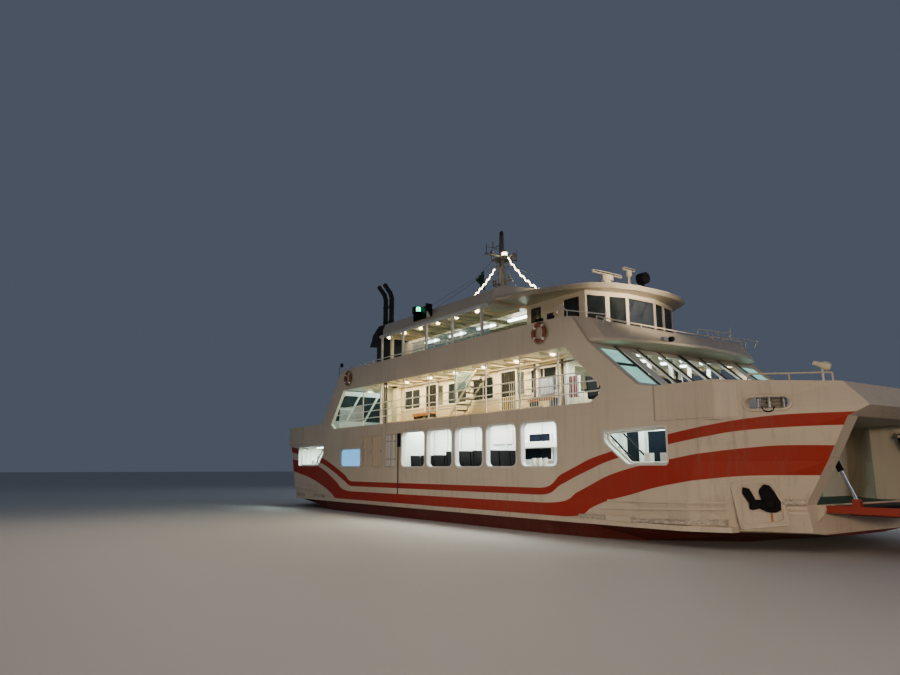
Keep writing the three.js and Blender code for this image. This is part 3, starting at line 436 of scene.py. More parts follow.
def along(shape, pattern, path, spacing, finish, closed=False):
    """Adds copies of the pattern's faces to the shape, along a path"""
    if "path" not in TREES:
        TREES["path"] = copying_tree("along a path", [("Path", "Object"), ("Spacing", "Float")], path_points)
    helper = loose("pattern", pattern.points, [], pattern.faces)
    edges = [(i, i + 1) for i in range(len(path) - 1)]
    if closed:
        edges.append((len(path) - 1, 0))
    way = loose("way", path, edges, [])
    TREES["path"].run(shape, finish, Path=way, Pattern=helper, Spacing=spacing)
    bpy.data.objects.remove(helper)
    bpy.data.objects.remove(way)


# Finishes
class Wires:
    """Short forms for placing shader nodes and joining them"""

    def __init__(self, tree):
        self.tree = tree

    def node(self, kind, **settings):
        made = self.tree.nodes.new(kind)
        for label, value in settings.items():
            setattr(made, label, value)
        return made

    def feed(self, socket, value):
        """Joins a socket to another, or sets its value; a colour may leave out its alpha"""
        if isinstance(value, bpy.types.NodeSocket):
            self.tree.links.new(value, socket)
        elif socket.type == "RGBA":
            socket.default_value = (*value[:3], 1)
        else:
            socket.default_value = value

    def send(self, node, **values):
        """Feeds the inputs of a node by their names"""
        for label, value in values.items():
            self.feed(node.inputs[label.replace("_", " ")], value)

    def math(self, operation, *values, clamp=False):
        made = self.node("ShaderNodeMath", operation=operation, use_clamp=clamp)
        for socket, value in zip(made.inputs, values):
            self.feed(socket, value)
        return made.outputs[0]

    def times(self, *values):
        return self.math("MULTIPLY", *values)

    def plus(self, *values, clamp=False):
        return self.math("ADD", *values, clamp=clamp)

    def minus(self, *values):
        return self.math("SUBTRACT", *values)

    def mix(self, share, first, second):
        made = self.node("ShaderNodeMix", data_type="RGBA")
        for index, value in ((0, share), (6, first), (7, second)):
            self.feed(made.inputs[index], value)
        return made.outputs[2]

    def noise(self, scale, detail=3.0, roughness=0.5, stretch=(1.0, 1.0, 1.0)):
        made = self.node("ShaderNodeTexNoise")
        self.send(made, Vector=self.place(stretch), Scale=scale, Detail=detail, Roughness=roughness)
        return made.outputs["Fac"]

    def ramp(self, value, low, high, first=0.0, last=1.0):
        made = self.node("ShaderNodeMapRange")
        for socket, item in zip(made.inputs, (value, low, high, first, last)):
            self.feed(socket, item)
        return made.outputs[0]

    def coords(self, label="Object"):
        return self.node("ShaderNodeTexCoord").outputs[label]

    def place(self, scale=(1.0, 1.0, 1.0)):
        mapping = self.node("ShaderNodeMapping")
        self.send(mapping, Scale=scale, Vector=self.coords())
        return mapping.outputs["Vector"]

    def parts(self, vector):
        made = self.node("ShaderNodeSeparateXYZ")
        self.feed(made.inputs[0], vector)
        return made.outputs[0], made.outputs[1], made.outputs[2]

    def use(self, name, **values):
        made = self.node("ShaderNodeGroup")
        made.node_tree = GROUPS[name]
        self.send(made, **values)
        return made.outputs

    def bump(self, shader, height, strength, distance):
        made = self.node("ShaderNodeBump")
        self.send(made, Strength=strength, Distance=distance, Height=height)
        self.feed(shader.inputs["Normal"], made.outputs["Normal"])


GROUPS = {}
FINISH = {}
DIRT = (0.16, 0.12, 0.09)


def shader_group(name, inputs, outputs):
    """An empty shader group: its wires, what it is given, and its output node"""
    group = bpy.data.node_groups.new(name, "ShaderNodeTree")
    for label, kind, value in inputs:
        made = group.interface.new_socket(label, in_out="INPUT", socket_type="NodeSocket" + kind)
        made.default_value = (*value, 1) if kind == "Color" else value
    for label, kind in outputs:
        group.interface.new_socket(label, in_out="OUTPUT", socket_type="NodeSocket" + kind)
    GROUPS[name] = group
    wires = Wires(group)
    return wires, wires.node("NodeGroupInput").outputs, wires.node("NodeGroupOutput")


def weather_group():
    """Salt, run-down dirt, rust and the unevenness of painted plate"""
    wires, given, out = shader_group(
        "weather",
        [("Colour", "Color", (0.6, 0.6, 0.6)), ("Dirt", "Color", DIRT), ("Runs", "Float", 0.5),
         ("Rust", "Float", 0.2), ("Gloss", "Float", 0.4)],
        [("Colour", "Color"), ("Roughness", "Float"), ("Height", "Float")])
    runs = wires.noise(1.0, 5.0, 0.65, (5.0, 5.0, 0.28))
    cloud = wires.noise(0.45)
    spots = wires.noise(3.2, 6.0, 0.7, (1.0, 1.0, 0.45))
    fine = wires.noise(55.0, 2.0)
    run_mask = wires.times(wires.ramp(runs, 0.50, 0.82), wires.ramp(cloud, 0.35, 0.65))
    run_share = wires.times(run_mask, given["Runs"])
    toned = wires.mix(wires.ramp(cloud, 0.2, 0.8, 0.0, 0.22), given["Colour"], given["Dirt"])
    dirty = wires.mix(run_share, toned, given["Dirt"])
    rust_mask = wires.times(wires.ramp(spots, 0.69, 0.80), given["Rust"])
    rough = wires.plus(given["Gloss"], wires.times(run_share, 0.3))
    speck = wires.times(wires.minus(fine, 0.5), 0.12)
    wires.send(out, Colour=wires.mix(rust_mask, dirty, (0.20, 0.065, 0.018)),
               Roughness=wires.plus(rough, speck, clamp=True),
               Height=wires.plus(wires.times(fine, 0.25), wires.times(rust_mask, -0.8)))


def plating_group():
    """Weld seams between plates, and the frames that show through them"""
    wires, given, out = shader_group(
        "plating",
        [("Length", "Float", 2.4), ("Depth", "Float", 1.05), ("Frame", "Float", 0.6)],
        [("Seam", "Float"), ("Height", "Float")])
    x, _, z = wires.parts(wires.place())

    def line(value, pitch, offset):
        share = wires.math("FRACT", wires.math("DIVIDE", wires.plus(value, offset), pitch))
        return wires.ramp(wires.math("ABSOLUTE", wires.minus(share, 0.5)), 0.4955, 0.4995)

    seam = wires.math("MAXIMUM", line(x, given["Length"], 41.1), line(z, given["Depth"], 20.34))
    wave = wires.math("SINE", wires.math("DIVIDE", wires.times(x, TURN), given["Frame"]))
    dent = wires.noise(1.0, 1.0, 0.4, (0.9, 0.9, 1.6))
    soft = wires.plus(wires.times(wave, 0.05), wires.times(dent, 0.6))
    wires.send(out, Seam=seam, Height=wires.plus(soft, wires.times(seam, 0.35)))


def livery_group():
    """The swept stripes, the boot top and the deck paint, by place on the ship"""
    wires, given, out = shader_group(
        "livery",
        [("Cream", "Color", (0.6, 0.6, 0.5)), ("Red", "Color", (0.5, 0.1, 0.0)),
         ("Boot", "Color", (0.1, 0.0, 0.0)), ("Deck", "Color", (0.1, 0.1, 0.1))],
        [("Colour", "Color"), ("Deck", "Float")])
    x, y, z = wires.parts(wires.coords())
    _, normal_y, normal_z = wires.parts(wires.coords("Normal"))
    share = wires.ramp(x, -STRIPE_HALF_LENGTH, STRIPE_HALF_LENGTH)

    def edge(column):
        """The height of a stripe's edge at this station"""
        curve = wires.node("ShaderNodeFloatCurve")
        wires.send(curve, Value=share)
        points = curve.mapping.curves[0].points
        places = [(0.5 + r[0] / (2 * STRIPE_HALF_LENGTH), r[column] / STRIPE_TOP_Z) for r in STRIPES]
        points[0].location = places[0]
        points[-1].location = places[-1]
        for place in places[1:-1]:
            points.new(*place)
        for point in points:
            point.handle_type = "AUTO_CLAMPED"
        curve.mapping.update()
        return wires.times(curve.outputs["Value"], STRIPE_TOP_Z)

    def between(low, high):
        soft = 0.004
        over = wires.ramp(wires.minus(z, low), -soft, soft)
        return wires.times(over, wires.ramp(wires.minus(high, z), -soft, soft))

    def near(value, level):
        return wires.math("LESS_THAN", wires.math("ABSOLUTE", wires.minus(value, level)), 0.03)

    stripes = wires.math("MAXIMUM", between(edge(2), edge(1)), between(edge(4), edge(3)))
    facing = wires.math("GREATER_THAN", wires.times(normal_y, wires.math("SIGN", y)), 0.3)
    inside_end = wires.math("LESS_THAN", wires.math("ABSOLUTE", x), STRIPE_END_X)
    outer = wires.math("GREATER_THAN", wires.math("ABSOLUTE", y), STRIPE_LEAST_Y)
    stripe = wires.times(wires.times(stripes, facing), wires.times(inside_end, outer))
    colour = wires.mix(stripe, given["Cream"], given["Red"])
    colour = wires.mix(wires.ramp(z, BOOT_TOP_Z, BOOT_TOP_Z - 0.008), colour, given["Boot"])
    upward = wires.math("GREATER_THAN", normal_z, 0.7)
    deck = wires.times(upward, wires.math("MAXIMUM", near(z, CAR_DECK_Z), near(z, END_DECK_Z)))
    wires.send(out, Colour=wires.mix(deck, colour, given["Deck"]), Deck=deck)


def new_material(name):
    """A material with one shader, and the wires to feed it"""
    material = bpy.data.materials.new(name)
    material.use_nodes = True
    FINISH[name] = material
    return Wires(material.node_tree), material.node_tree.nodes["Principled BSDF"]


def painted(name, colour, gloss=0.4, runs=0.45, rust=0.15, dirt=DIRT, metallic=0.0, shine=0.5):
    """Painted or bare metal with its weathering"""
    wires, shader = new_material(name)
    look = wires.use("weather", Colour=colour, Dirt=dirt, Runs=runs, Rust=rust, Gloss=gloss)
    wires.send(shader, Base_Color=look["Colour"], Roughness=look["Roughness"], Metallic=metallic,
               Specular_IOR_Level=shine)
    wires.bump(shader, look["Height"], 0.25, 0.002)


def hull_paint(name, colours):
    """Cream sides with the swept red stripes over welded plate"""
    wires, shader = new_material(name)
    livery = wires.use(
        "livery", Cream=colours.cream, Red=colours.red, Boot=colours.boot, Deck=colours.deck)
    plating = wires.use("plating")
    look = wires.use("weather", Colour=livery["Colour"], Runs=0.6, Rust=0.4, Gloss=0.5)
    grit = wires.times(wires.noise(160.0, 2.0), livery["Deck"])
    wires.send(shader, Specular_IOR_Level=0.25,
               Base_Color=wires.mix(wires.times(plating["Seam"], 0.16), look["Colour"], (0.10, 0.08, 0.06)),
               Roughness=wires.plus(look["Roughness"], wires.times(livery["Deck"], 0.4), clamp=True))
    wires.bump(shader, wires.plus(wires.plus(look["Height"], plating["Height"]), grit), 0.35, 0.006)


def deck_paint(name, colours, ceiling):
    """Gritty deck paint on top, smooth ceiling paint with its beams' shade below"""
    wires, shader = new_material(name)
    top = wires.math("GREATER_THAN", wires.parts(wires.coords("Normal"))[2], 0.5)
    wear = wires.ramp(wires.noise(0.9, 5.0, 0.6), 0.45, 0.7)
    worn = wires.mix(wires.times(wear, 0.4), colours.deck, (0.20, 0.22, 0.19))
    under = wires.use("weather", Colour=ceiling, Runs=0.1, Rust=0.05, Gloss=0.45)
    wires.send(shader, Base_Color=wires.mix(top, under["Colour"], worn),
               Roughness=wires.ramp(top, 0.0, 1.0, 0.45, 0.85))
    grit = wires.times(wires.noise(160.0, 2.0), top)
    board = wires.math("FRACT", wires.times(wires.parts(wires.place())[0], 2.5))
    line = wires.times(wires.math("GREATER_THAN", board, 0.97), wires.minus(1.0, top))
    wires.bump(shader, wires.minus(grit, line), 0.5, 0.004)


def boarded(name, colour, pitch=0.14):
    """Painted panels with upright grooves"""
    wires, shader = new_material(name)
    look = wires.use("weather", Colour=colour, Runs=0.15, Rust=0.0, Gloss=0.4)
    x, y, _ = wires.parts(wires.place())
    share = wires.math("FRACT", wires.math("DIVIDE", wires.plus(wires.plus(x, y), 60.0), pitch))
    groove = wires.ramp(wires.math("ABSOLUTE", wires.minus(share, 0.5)), 0.44, 0.49)
    dark = wires.mix(wires.times(groove, 0.45), look["Colour"], (0.20, 0.13, 0.07))
    wires.send(shader, Base_Color=dark, Roughness=look["Roughness"])
    wires.bump(shader, wires.minus(look["Height"], groove), 0.6, 0.006)


def shaded(colour, share):
    return tuple(share * c for c in colour)


def glass(name, colour, alpha, glow=None, strength=0.0):
    """Window glass: a thin tinted sheet with a little salt on it; given a glow, the pane itself gives off
    painted light
    """
    wires, shader = new_material(name)
    haze = wires.noise(2.0, 4.0, 0.6, (1.0, 1.0, 0.5))
    pale = tuple(min(1.0, c * 1.6 + 0.03) for c in colour)
    wires.send(shader, Base_Color=wires.mix(wires.ramp(haze, 0.45, 0.8), colour, pale),
               Roughness=wires.ramp(haze, 0.3, 0.8, 0.03, 0.12),
               Alpha=wires.ramp(haze, 0.3, 0.8, alpha, min(1.0, alpha + 0.10)))
    # Painted light: the pane glows, though it is no lamp
    if glow:
        wires.send(shader, Emission_Color=wires.mix(wires.ramp(haze, 0.3, 0.7), glow, shaded(glow, 0.75)),
                   Emission_Strength=strength)


def lamp(name, colour, strength):
    """A lit diffuser with a brighter middle"""
    wires, shader = new_material(name)
    mottle = wires.noise(14.0, 2.0)
    dim = shaded(colour, 0.8)
    wires.send(shader, Emission_Color=wires.mix(wires.ramp(mottle, 0.3, 0.7), colour, dim),
               Base_Color=wires.mix(mottle, colour, dim), Emission_Strength=strength,
               Roughness=wires.ramp(mottle, 0.0, 1.0, 0.25, 0.4))


def rope_finish(name, colour):
    """Laid rope, or webbing, with its lay along X"""
    wires, shader = new_material(name)
    x, y, z = wires.parts(wires.place((70.0, 70.0, 110.0)))
    twist = wires.math("SINE", wires.plus(wires.plus(x, y), z))
    wires.send(shader, Base_Color=wires.mix(wires.ramp(twist, -1.0, 1.0), shaded(colour, 0.5), colour),
               Roughness=wires.ramp(twist, -1.0, 1.0, 0.95, 0.8))
    wires.bump(shader, twist, 0.6, 0.004)


def timber(name, light, dark, stretch=(1.0, 14.0, 14.0)):
    """Timber with its grain along X"""
    wires, shader = new_material(name)
    grain = wires.noise(2.5, 6.0, 0.65, stretch)
    wires.send(shader, Base_Color=wires.mix(wires.ramp(grain, 0.35, 0.65), dark, light),
               Roughness=wires.ramp(grain, 0.3, 0.7, 0.65, 0.45))
    wires.bump(shader, grain, 0.5, 0.004)


# Painted finishes: name, colour, gloss, runs, rust, then colour of the dirt, metal and shine
PAINTS = (
    # The next row is the cream painted lighter, a painted highlight for parts that catch the light
    ("cream_painted_highlight", (0.78, 0.70, 0.50), 0.4, 0.1, 0.02),
    ("white_trim", (0.74, 0.73, 0.69), 0.32, 0.15, 0.05),
    ("inner_white", (0.80, 0.82, 0.78), 0.45, 0.1, 0.04),
    ("warm_panel", (0.80, 0.70, 0.48), 0.45, 0.1, 0.0),
    ("beige_leaf", (0.70, 0.58, 0.41), 0.5, 0.4, 0.1),
    ("black_iron", (0.008, 0.008, 0.009), 0.6, 0.1, 0.06, (0.008, 0.007, 0.006), 0.0, 0.12),
    ("dark_trim", (0.035, 0.033, 0.032), 0.4, 0.1, 0.05, (0.09, 0.08, 0.07)),
    ("soot_black", (0.022, 0.021, 0.021), 0.62, 0.6, 0.25, (0.08, 0.06, 0.05)),
    ("mast_grey", (0.13, 0.125, 0.12), 0.5, 0.3, 0.15),
    ("ramp_red", (0.33, 0.035, 0.015), 0.55, 0.5, 0.6, (0.03, 0.025, 0.02)),
    ("ramp_deck", (0.030, 0.032, 0.031), 0.75, 0.3, 0.7, (0.10, 0.09, 0.08)),
    ("steel", (0.52, 0.53, 0.54), 0.28, 0.2, 0.1, DIRT, 1.0),
    ("chrome", (0.75, 0.76, 0.78), 0.12, 0.05, 0.0, DIRT, 1.0),
    ("bronze", (0.42, 0.27, 0.11), 0.32, 0.4, 0.0, (0.06, 0.10, 0.07), 1.0),
    ("galvanised", (0.42, 0.43, 0.42), 0.5, 0.3, 0.3, DIRT, 0.7),
    ("seat_black", (0.004, 0.004, 0.005), 0.6, 0.0, 0.0, (0.012, 0.012, 0.012), 0.0, 0.15),
    ("seat_blue", (0.045, 0.08, 0.20), 0.75, 0.0, 0.0, (0.02, 0.03, 0.06)),
    # The next row is the lifebuoys' orange painted darker, as painted shade
    ("shaded_buoy_orange", (0.25, 0.055, 0.012), 0.55, 0.5, 0.0),
    ("navy_dark", (0.003, 0.005, 0.010), 0.3, 0.1, 0.0, (0.01, 0.012, 0.02), 0.0, 0.12),
    # The next row is the cream darkened, a painted shadow for grooves and seams
    ("seam_painted_shadow", (0.40, 0.34, 0.265), 0.6, 0.3, 0.05),
    # The next row is worn paint, painted lighter both for the wear and as a painted highlight
    ("chafed_and_highlit_paint", (0.74, 0.64, 0.50), 0.6, 0.7, 0.2),
    ("rust_streak", (0.34, 0.17, 0.06), 0.8, 0.8, 0.9, (0.55, 0.45, 0.33)),
    ("banner_red", (0.16, 0.012, 0.010), 0.7, 0.0, 0.0),
    ("notice_blue", (0.30, 0.38, 0.62), 0.4, 0.0, 0.0),
)


def make_finishes():
    colours = bpy.context.scene.ferry_colours
    weather_group()
    plating_group()
    livery_group()
    hull_paint("hull_livery", colours)
    deck_paint("deck_and_ceiling", colours, (0.80, 0.76, 0.66))
    painted("cream_paint", colours.cream, 0.38, 0.35, 0.12)
    for look in PAINTS:
        painted(*look)
    boarded("warm_boards", (0.72, 0.60, 0.38))
    glass("clear_glass", (0.05, 0.07, 0.07), 0.12)
    glass("dark_glass", (0.012, 0.016, 0.018), 0.72)
    # The frosted, screen, teal and blue lit panes glow: painted light, though they are no lamps
    glass("frosted_glass", (0.62, 0.70, 0.67), 0.94, (0.80, 0.96, 0.92), 0.35)
    glass("screen_glass", (0.16, 0.26, 0.25), 0.38, (0.30, 0.52, 0.48), 0.18)
    glass("teal_glass", (0.20, 0.42, 0.38), 0.85, (0.36, 0.80, 0.68), 0.8)
    glass("blue_lit_glass", (0.15, 0.35, 0.55), 0.92, (0.14, 0.47, 0.85), 1.3)
    lamp("warm_lamp", (1.0, 0.84, 0.50), 14.0)
    lamp("cool_lamp", (0.82, 1.0, 0.95), 12.0)
    lamp("green_lamp", (0.05, 0.85, 0.42), 6.0)
    lamp("red_lamp", (0.9, 0.05, 0.03), 6.0)
    rope_finish("rope", (0.42, 0.38, 0.30))
    rope_finish("flag_cloth", (0.035, 0.07, 0.06))
    timber("bench_wood", (0.62, 0.30, 0.12), (0.38, 0.16, 0.06))
    timber("worn_fender", (0.66, 0.59, 0.48), (0.22, 0.18, 0.14), (4.0, 4.0, 16.0))


# Which finish each piece of the construction model takes, by the start of its name; the last match counts
NODE_FINISHES = {
    "hull_livery": ("hull", "side_wall", "bow_quarter", "stern_quarter", "foredeck", "afterdeck", "rudder"),
    "inner_white": ("lane_wall",),
    "warm_panel": ("saloon",),
    "deck_and_ceiling": ("saloon_deck", "sun_deck"),
    "white_trim": ("promenade_rails", "canopy_posts", "fore_window_wall", "aft_window_wall"),
    "mast_grey": ("mast",),
    "soot_black": ("exhaust",),
    "black_iron": ("sidelight", "searchlight", "anchor", "bow_cylinder", "stern_cylinder"),
    "ramp_red": ("bow_ramp", "stern_ramp"),
    "chrome": ("bow_rod", "stern_rod"),
    "bronze": ("propeller",),
}


def dress_nodes():
    """Gives each piece of the construction model its finish"""
    for name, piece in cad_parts.items():
        chosen = "cream_paint"
        for finish, starts in NODE_FINISHES.items():
            if any(name == start or name.startswith(start + "_") for start in starts):
                chosen = finish
        piece.data.materials.clear()
        piece.data.materials.append(FINISH[chosen])


# Camera, floor, sky and lamps
CAMERA_PLACE = (25.6, -20.8, 2.13)
CAMERA_AIM = (-0.8072, 0.5611, 0.1833)
CAMERA_LENS = 28.0
SENSOR_WIDTH = 36.0
FLOOR_HALF = 400


def area_light(name, place, aim, size, power, colour, mirrored=True, spread=180):
    light = bpy.data.lights.new(name, "AREA")
    light.shape = "RECTANGLE"
    light.size, light.size_y = size
    light.energy = power
    light.color = colour
    light.spread = math.radians(spread)
    item = linked(name, light)
    item.location = place
    item.rotation_euler = (Vector(aim) - Vector(place)).to_track_quat("-Z", "Y").to_euler()
    item.visible_camera = False
    item.visible_glossy = mirrored


def build_stage():
    camera = bpy.data.cameras.new("camera")
    camera.lens = CAMERA_LENS
    camera.sensor_width = SENSOR_WIDTH
    camera.clip_end = 1000.0
    viewer = linked("camera", camera)
    viewer.location = CAMERA_PLACE
    viewer.rotation_euler = Vector(CAMERA_AIM).to_track_quat("-Z", "Y").to_euler()
    bpy.context.scene.camera = viewer

    corners = [(x * FLOOR_HALF, y * FLOOR_HALF, 0) for x, y in ((-1, -1), (1, -1), (1, 1), (-1, 1))]
    floor = loose("floor", corners, [], [(0, 1, 2, 3)])
    wires, shader = new_material("pale_floor")
    pale = wires.mix(wires.noise(0.15), (0.50, 0.49, 0.47), (0.55, 0.54, 0.52))
    wires.send(shader, Base_Color=pale, Roughness=0.6)
    floor.data.materials.append(FINISH["pale_floor"])

    world = bpy.data.worlds.new("studio")
    world.use_nodes = True
    sky = world.node_tree.nodes["Background"]
    sky.inputs["Color"].default_value = (0.24, 0.29, 0.40, 1)
    sky.inputs["Strength"].default_value = 0.31
    bpy.context.scene.world = world

    area_light("key", (50, -36, 6.0), (17.5, -4, -1.0), (14, 3), 370, (1.0, 0.80, 0.60), spread=35)
    area_light("bridge wash", (20, -4.4, 7.2), (7.8, -0.6, 8.3), (1.2, 1.2), 74, (1.0, 0.86, 0.62), False, 22)
    area_light("quay glow", (11, -16, 8.5), (11, -15.99, 0), (36, 12), 950, (1.0, 0.82, 0.62))
    area_light("fill", (-12, -52, 4), (-1, -4, 0.5), (26, 8), 130, (1.0, 0.93, 0.86), spread=80)
    area_light("rim", (-30, 30, 26), (0, 0, 6), (24, 16), 2600, (0.86, 0.92, 1.0))
    area_light("port fill", (34, 38, 22), (4, 0, 3), (24, 16), 1500, (0.92, 0.94, 1.0))
    power = bpy.context.scene.ferry_sizes.lamp_power
    warm, soft_warm = (1.0, 0.78, 0.42), (1.0, 0.92, 0.70)
    white, teal = (0.92, 1.0, 0.96), (0.76, 1.0, 0.93)

    def inside(name, place, size, watts, colour, aim=None):
        x, y, _ = place
        area_light(name, place, aim or (x, y, 0), size, watts * power, colour, mirrored=False)

    for _, side in SIDES:
        y = side * 3.55
        inside("promenade", (1.6, side * 3.9, 6.02), (11.0, 0.7), 620, warm)
        inside("fore lobby", (9.0, side * 2.2, 5.9), (1.6, 3.6), 300, white)
        inside("aft lobby", (-6.6, side * 2.6, 6.0), (2.6, 3.0), 380, teal, (-7.6, side * 2.9, 0))
        inside("cabin", (1.6, y, 3.88), (13.5, 1.1), 700, white)
        inside("office", (-6.5, y, 3.88), (1.8, 1.1), 60, (0.70, 0.88, 1.0))
        for _, end in ENDS:
            inside("port lobby", (end * 11.4, y, 3.86), (3.0, 1.1), 150 if end > 0 else 420, teal)
        inside("sun deck", (0.4, side * 2.6, 8.30), (8.0, 2.4), 170, soft_warm)
    inside("saloon", (1.6, 0, 6.0), (10.0, 4.6), 420, (1.0, 0.92, 0.75))
    inside("lane", (0, 0, 3.88), (22.0, 2.0), 420, teal)
    inside("wheelhouse", (6.4, 0, 8.5), (2.4, 3.0), 22, (1.0, 0.80, 0.55))


# Side windows
FRAME_PROUD = 0.025
LINING = 0.02


def window_trim(shape, outline, width):
    """A flange on the wall's face and a lining through the wall"""
    face, step = -SIDE_Y - FRAME_PROUD, -SIDE_Y - FRAME_PROUD * 0.6
    inner = grown(outline, -LINING)
    shape.rim(on_side(grown(outline, width), face), on_side(inner, face), (0, FRAME_PROUD, 0), "white_trim")
    shape.rim(on_side(grown(outline, -0.001), step), on_side(inner, step),
              (0, SIDE_Y - INNER_Y + FRAME_PROUD, 0), "white_trim")


def flat_frame(shape, outer, inner, y, deep, finish="white_trim"):
    """A frame on a wall; outer and inner hold what rectangle() takes"""
    shape.rim(on_side(rectangle(*outer), y), on_side(rectangle(*inner), y), (0, deep, 0), finish)


def build_side_windows():
    frame_width = bpy.context.scene.ferry_sizes.frame_width
    shape = Shape()
    bolt = Shape().turned([(0, 0.011), (0.008, 0.011), (0.012, 0.007)], axis=(0, -1, 0), sides=8)
    for window in SIDE_WINDOWS:
        outline = rectangle(*window, WINDOW_CORNER)
        window_trim(shape, outline, frame_width)
        path = on_side(grown(outline, frame_width * 0.55), -SIDE_Y - FRAME_PROUD)
        along(shape, bolt, path, 0.22, "steel", closed=True)
    window_trim(shape, rectangle(*OFFICE_WINDOW, 0.1), frame_width)
    shape.mirrored(1).place("side_window_frames")

    panes = Shape()
    office = grown(rectangle(*OFFICE_WINDOW, 0.1), -0.012)
    panes.slab(on_side(office, -SIDE_Y + 0.05), (0, 0.012, 0), "blue_lit_glass")
    left, right = RECESSES[-1]
    low, high = RECESS_Z
    light = rectangle(left + 0.08, right - 0.08, low + 0.9, high - 0.2, 0.06)
    panes.slab(on_side(light, -SIDE_Y + RECESS_DEEP - 0.012), (0, 0.01, 0), "clear_glass")
    panes.mirrored(1).place("side_window_panes")

    # Ribbed leaves of the vents, a pair of pipes and a leaf in the recesses
    leaves = Shape()
    face = -SIDE_Y + RECESS_DEEP - 0.022
    pitch = 0.078
    for i, (left, right) in enumerate(RECESSES):
        finish = "inner_white" if i == 2 else "beige_leaf"
        leaves.slab(on_side(rectangle(left + 0.02, right - 0.02, low + 0.02, high - 0.02, 0.04), face),
                    (0, 0.022, 0), finish)
        if i < 2:
            rib = Shape().tube([(0, 0, low + 0.06), (0, 0, high - 0.06)], 0.021, sides=6)
            plain = 0.26 * (1 - i)
            count = int((right - left - 0.1 - plain) / pitch)
            row(leaves, rib, (left + plain + 0.06, face, 0), (pitch, 0, 0), count, finish)
            leaves.boxes("steel", (right - 0.12, right - 0.07, face - 0.03, face, 2.82, 2.98))
        x, y = left + 0.035, face - 0.018
        for z in (low + 0.3, high - 0.35):
            leaves.rod((x, y, z), (x, y, z + 0.12), 0.014, "steel")
    for x in (-2.74, -2.50, -2.12):
        leaves.tube([(x, face - 0.045, 2.22), (x, face - 0.045, 3.60)], 0.062, "white_trim", 12)
        for z in (2.5, 3.3):
            leaves.turned([(0, 0.072), (0.05, 0.072)], (x, face - 0.045, z), UP, "galvanised", 12)
    # Dark vent box, and the drain pipe that leads down from it
    leaves.boxes("navy_dark", (-1.84, -1.56, -SIDE_Y - 0.02, -SIDE_Y, 3.06, 3.66))
    leaves.tube([(-1.74, -SIDE_Y - 0.03, 3.08), (-1.74, -SIDE_Y - 0.03, 1.02), (-1.74, -SIDE_Y - 0.05, 0.98)],
                0.024, "dark_trim", 10)
    leaves.mirrored(1).place("side_leaves")


# Bow and stern ports
def build_end_ports():
    shape = Shape()
    for _, end in ENDS:
        outline = rounded(FORE_PORT if end > 0 else AFT_PORT, PORT_CORNER)
        window_trim(shape, outline, 0.03)
        shape.tube(on_side(grown(outline, -0.05), -INNER_Y + 0.02), 0.032, "white_trim", 8, closed=True)
    shape.mirrored(1).place("end_port_frames")

    inside = Shape()
    wall = -LANE_WALL_Y
    face = wall - 0.04
    for _, end in ENDS:
        def span(first, last):
            return sorted((end * first, end * last))

        inside.boxes("inner_white", (*span(9.55, 13.3), face, wall, CAR_DECK_Z, CAR_CEILING_Z))
        # Two doors with a white column between them, and a notice panel
        for first, last, z0, z1, proud, finish in (
                (9.79, 10.35, 1.3, 3.37, 0.02, "navy_dark"), (10.66, 11.72, 1.3, 3.28, 0.02, "navy_dark"),
                (10.40, 10.62, 1.2, 3.6, 0.16, "white_trim"), (11.78, 11.88, 1.2, 3.6, 0.10, "white_trim")):
            inside.boxes(finish, (*span(first, last), face - proud, face, z0, z1))
        # Cross bulkhead with its door
        cross = end * 13.25
        inside.boxes("inner_white", (cross - 0.03, cross + 0.03, -INNER_Y, wall, CAR_DECK_Z, 3.5))
        near = cross - end * 0.03
        proud = sorted((near, near - end * 0.03))
        for door in ((-4.05, -3.97, 1.25, 3.25), (-3.23, -3.15, 1.25, 3.25), (-4.05, -3.15, 3.17, 3.25),
                     (-3.75, -3.71, 1.25, 3.17)):
            inside.boxes("white_trim", (*proud, *door))
        inside.boxes("black_iron", (*proud, -3.34, -3.28, 2.55, 2.80))
        # Pedestals below the port
        for first, last in ((11.56, 11.76), (12.14, 12.42)):
            inside.boxes("white_trim", (*span(first, last), -4.0, -3.8, CAR_DECK_Z, 2.57))
        # Stair with its rails
        for y in (-4.25, -3.55):
            foot, head = Vector((end * 11.73, y, 1.25)), Vector((end * 9.7, y, 3.25))
            inside.tube([foot, head], 0.035, "inner_white", 8)
            rise = Vector((0, 0, 0.80))
            inside.tube([foot + rise, head + rise * 0.7], 0.028, "black_iron", 8)
            for share in (0.05, 0.35, 0.65):
                place = foot.lerp(head, share)
                inside.rod(place, place + rise, 0.02, "inner_white")
        tread = Shape().box((-0.14, -0.35, -0.02), (0.14, 0.35, 0.02))
        row(inside, tread, (end * 11.6, -3.9, 1.38), (-end * 0.235, 0, 0.235), 8, "galvanised")
        # Strip lamp that hangs at the top of the port
        x0, x1 = (10.9, 12.3) if end > 0 else (-11.5, -10.1)
        inside.boxes("cool_lamp", (x0, x1, -4.16, -4.02, 3.22, 3.30))
        inside.boxes("white_trim", (x0 - 0.04, x1 + 0.04, -4.2, -3.98, 3.30, 3.34))
        for x in (x0, x1):
            inside.rod((x, -4.09, 3.32), (x, -4.09, CAR_CEILING_Z), 0.014, "white_trim")
    inside.mirrored(1).place("end_lobbies")


# Cabins beside the vehicle lane
CABIN_FLOOR_Z = 1.45
# Windows and doors of the lane wall: first station, last station, bottom, top
LANE_OPENINGS = (
    (-6.90, -6.10, 1.26, 3.25), (-4.60, -2.60, 2.25, 3.15), (-1.60, 0.40, 2.25, 3.15),
    (1.40, 3.40, 2.25, 3.15), (4.40, 5.20, 1.26, 3.25), (6.20, 8.20, 2.25, 3.15),
)


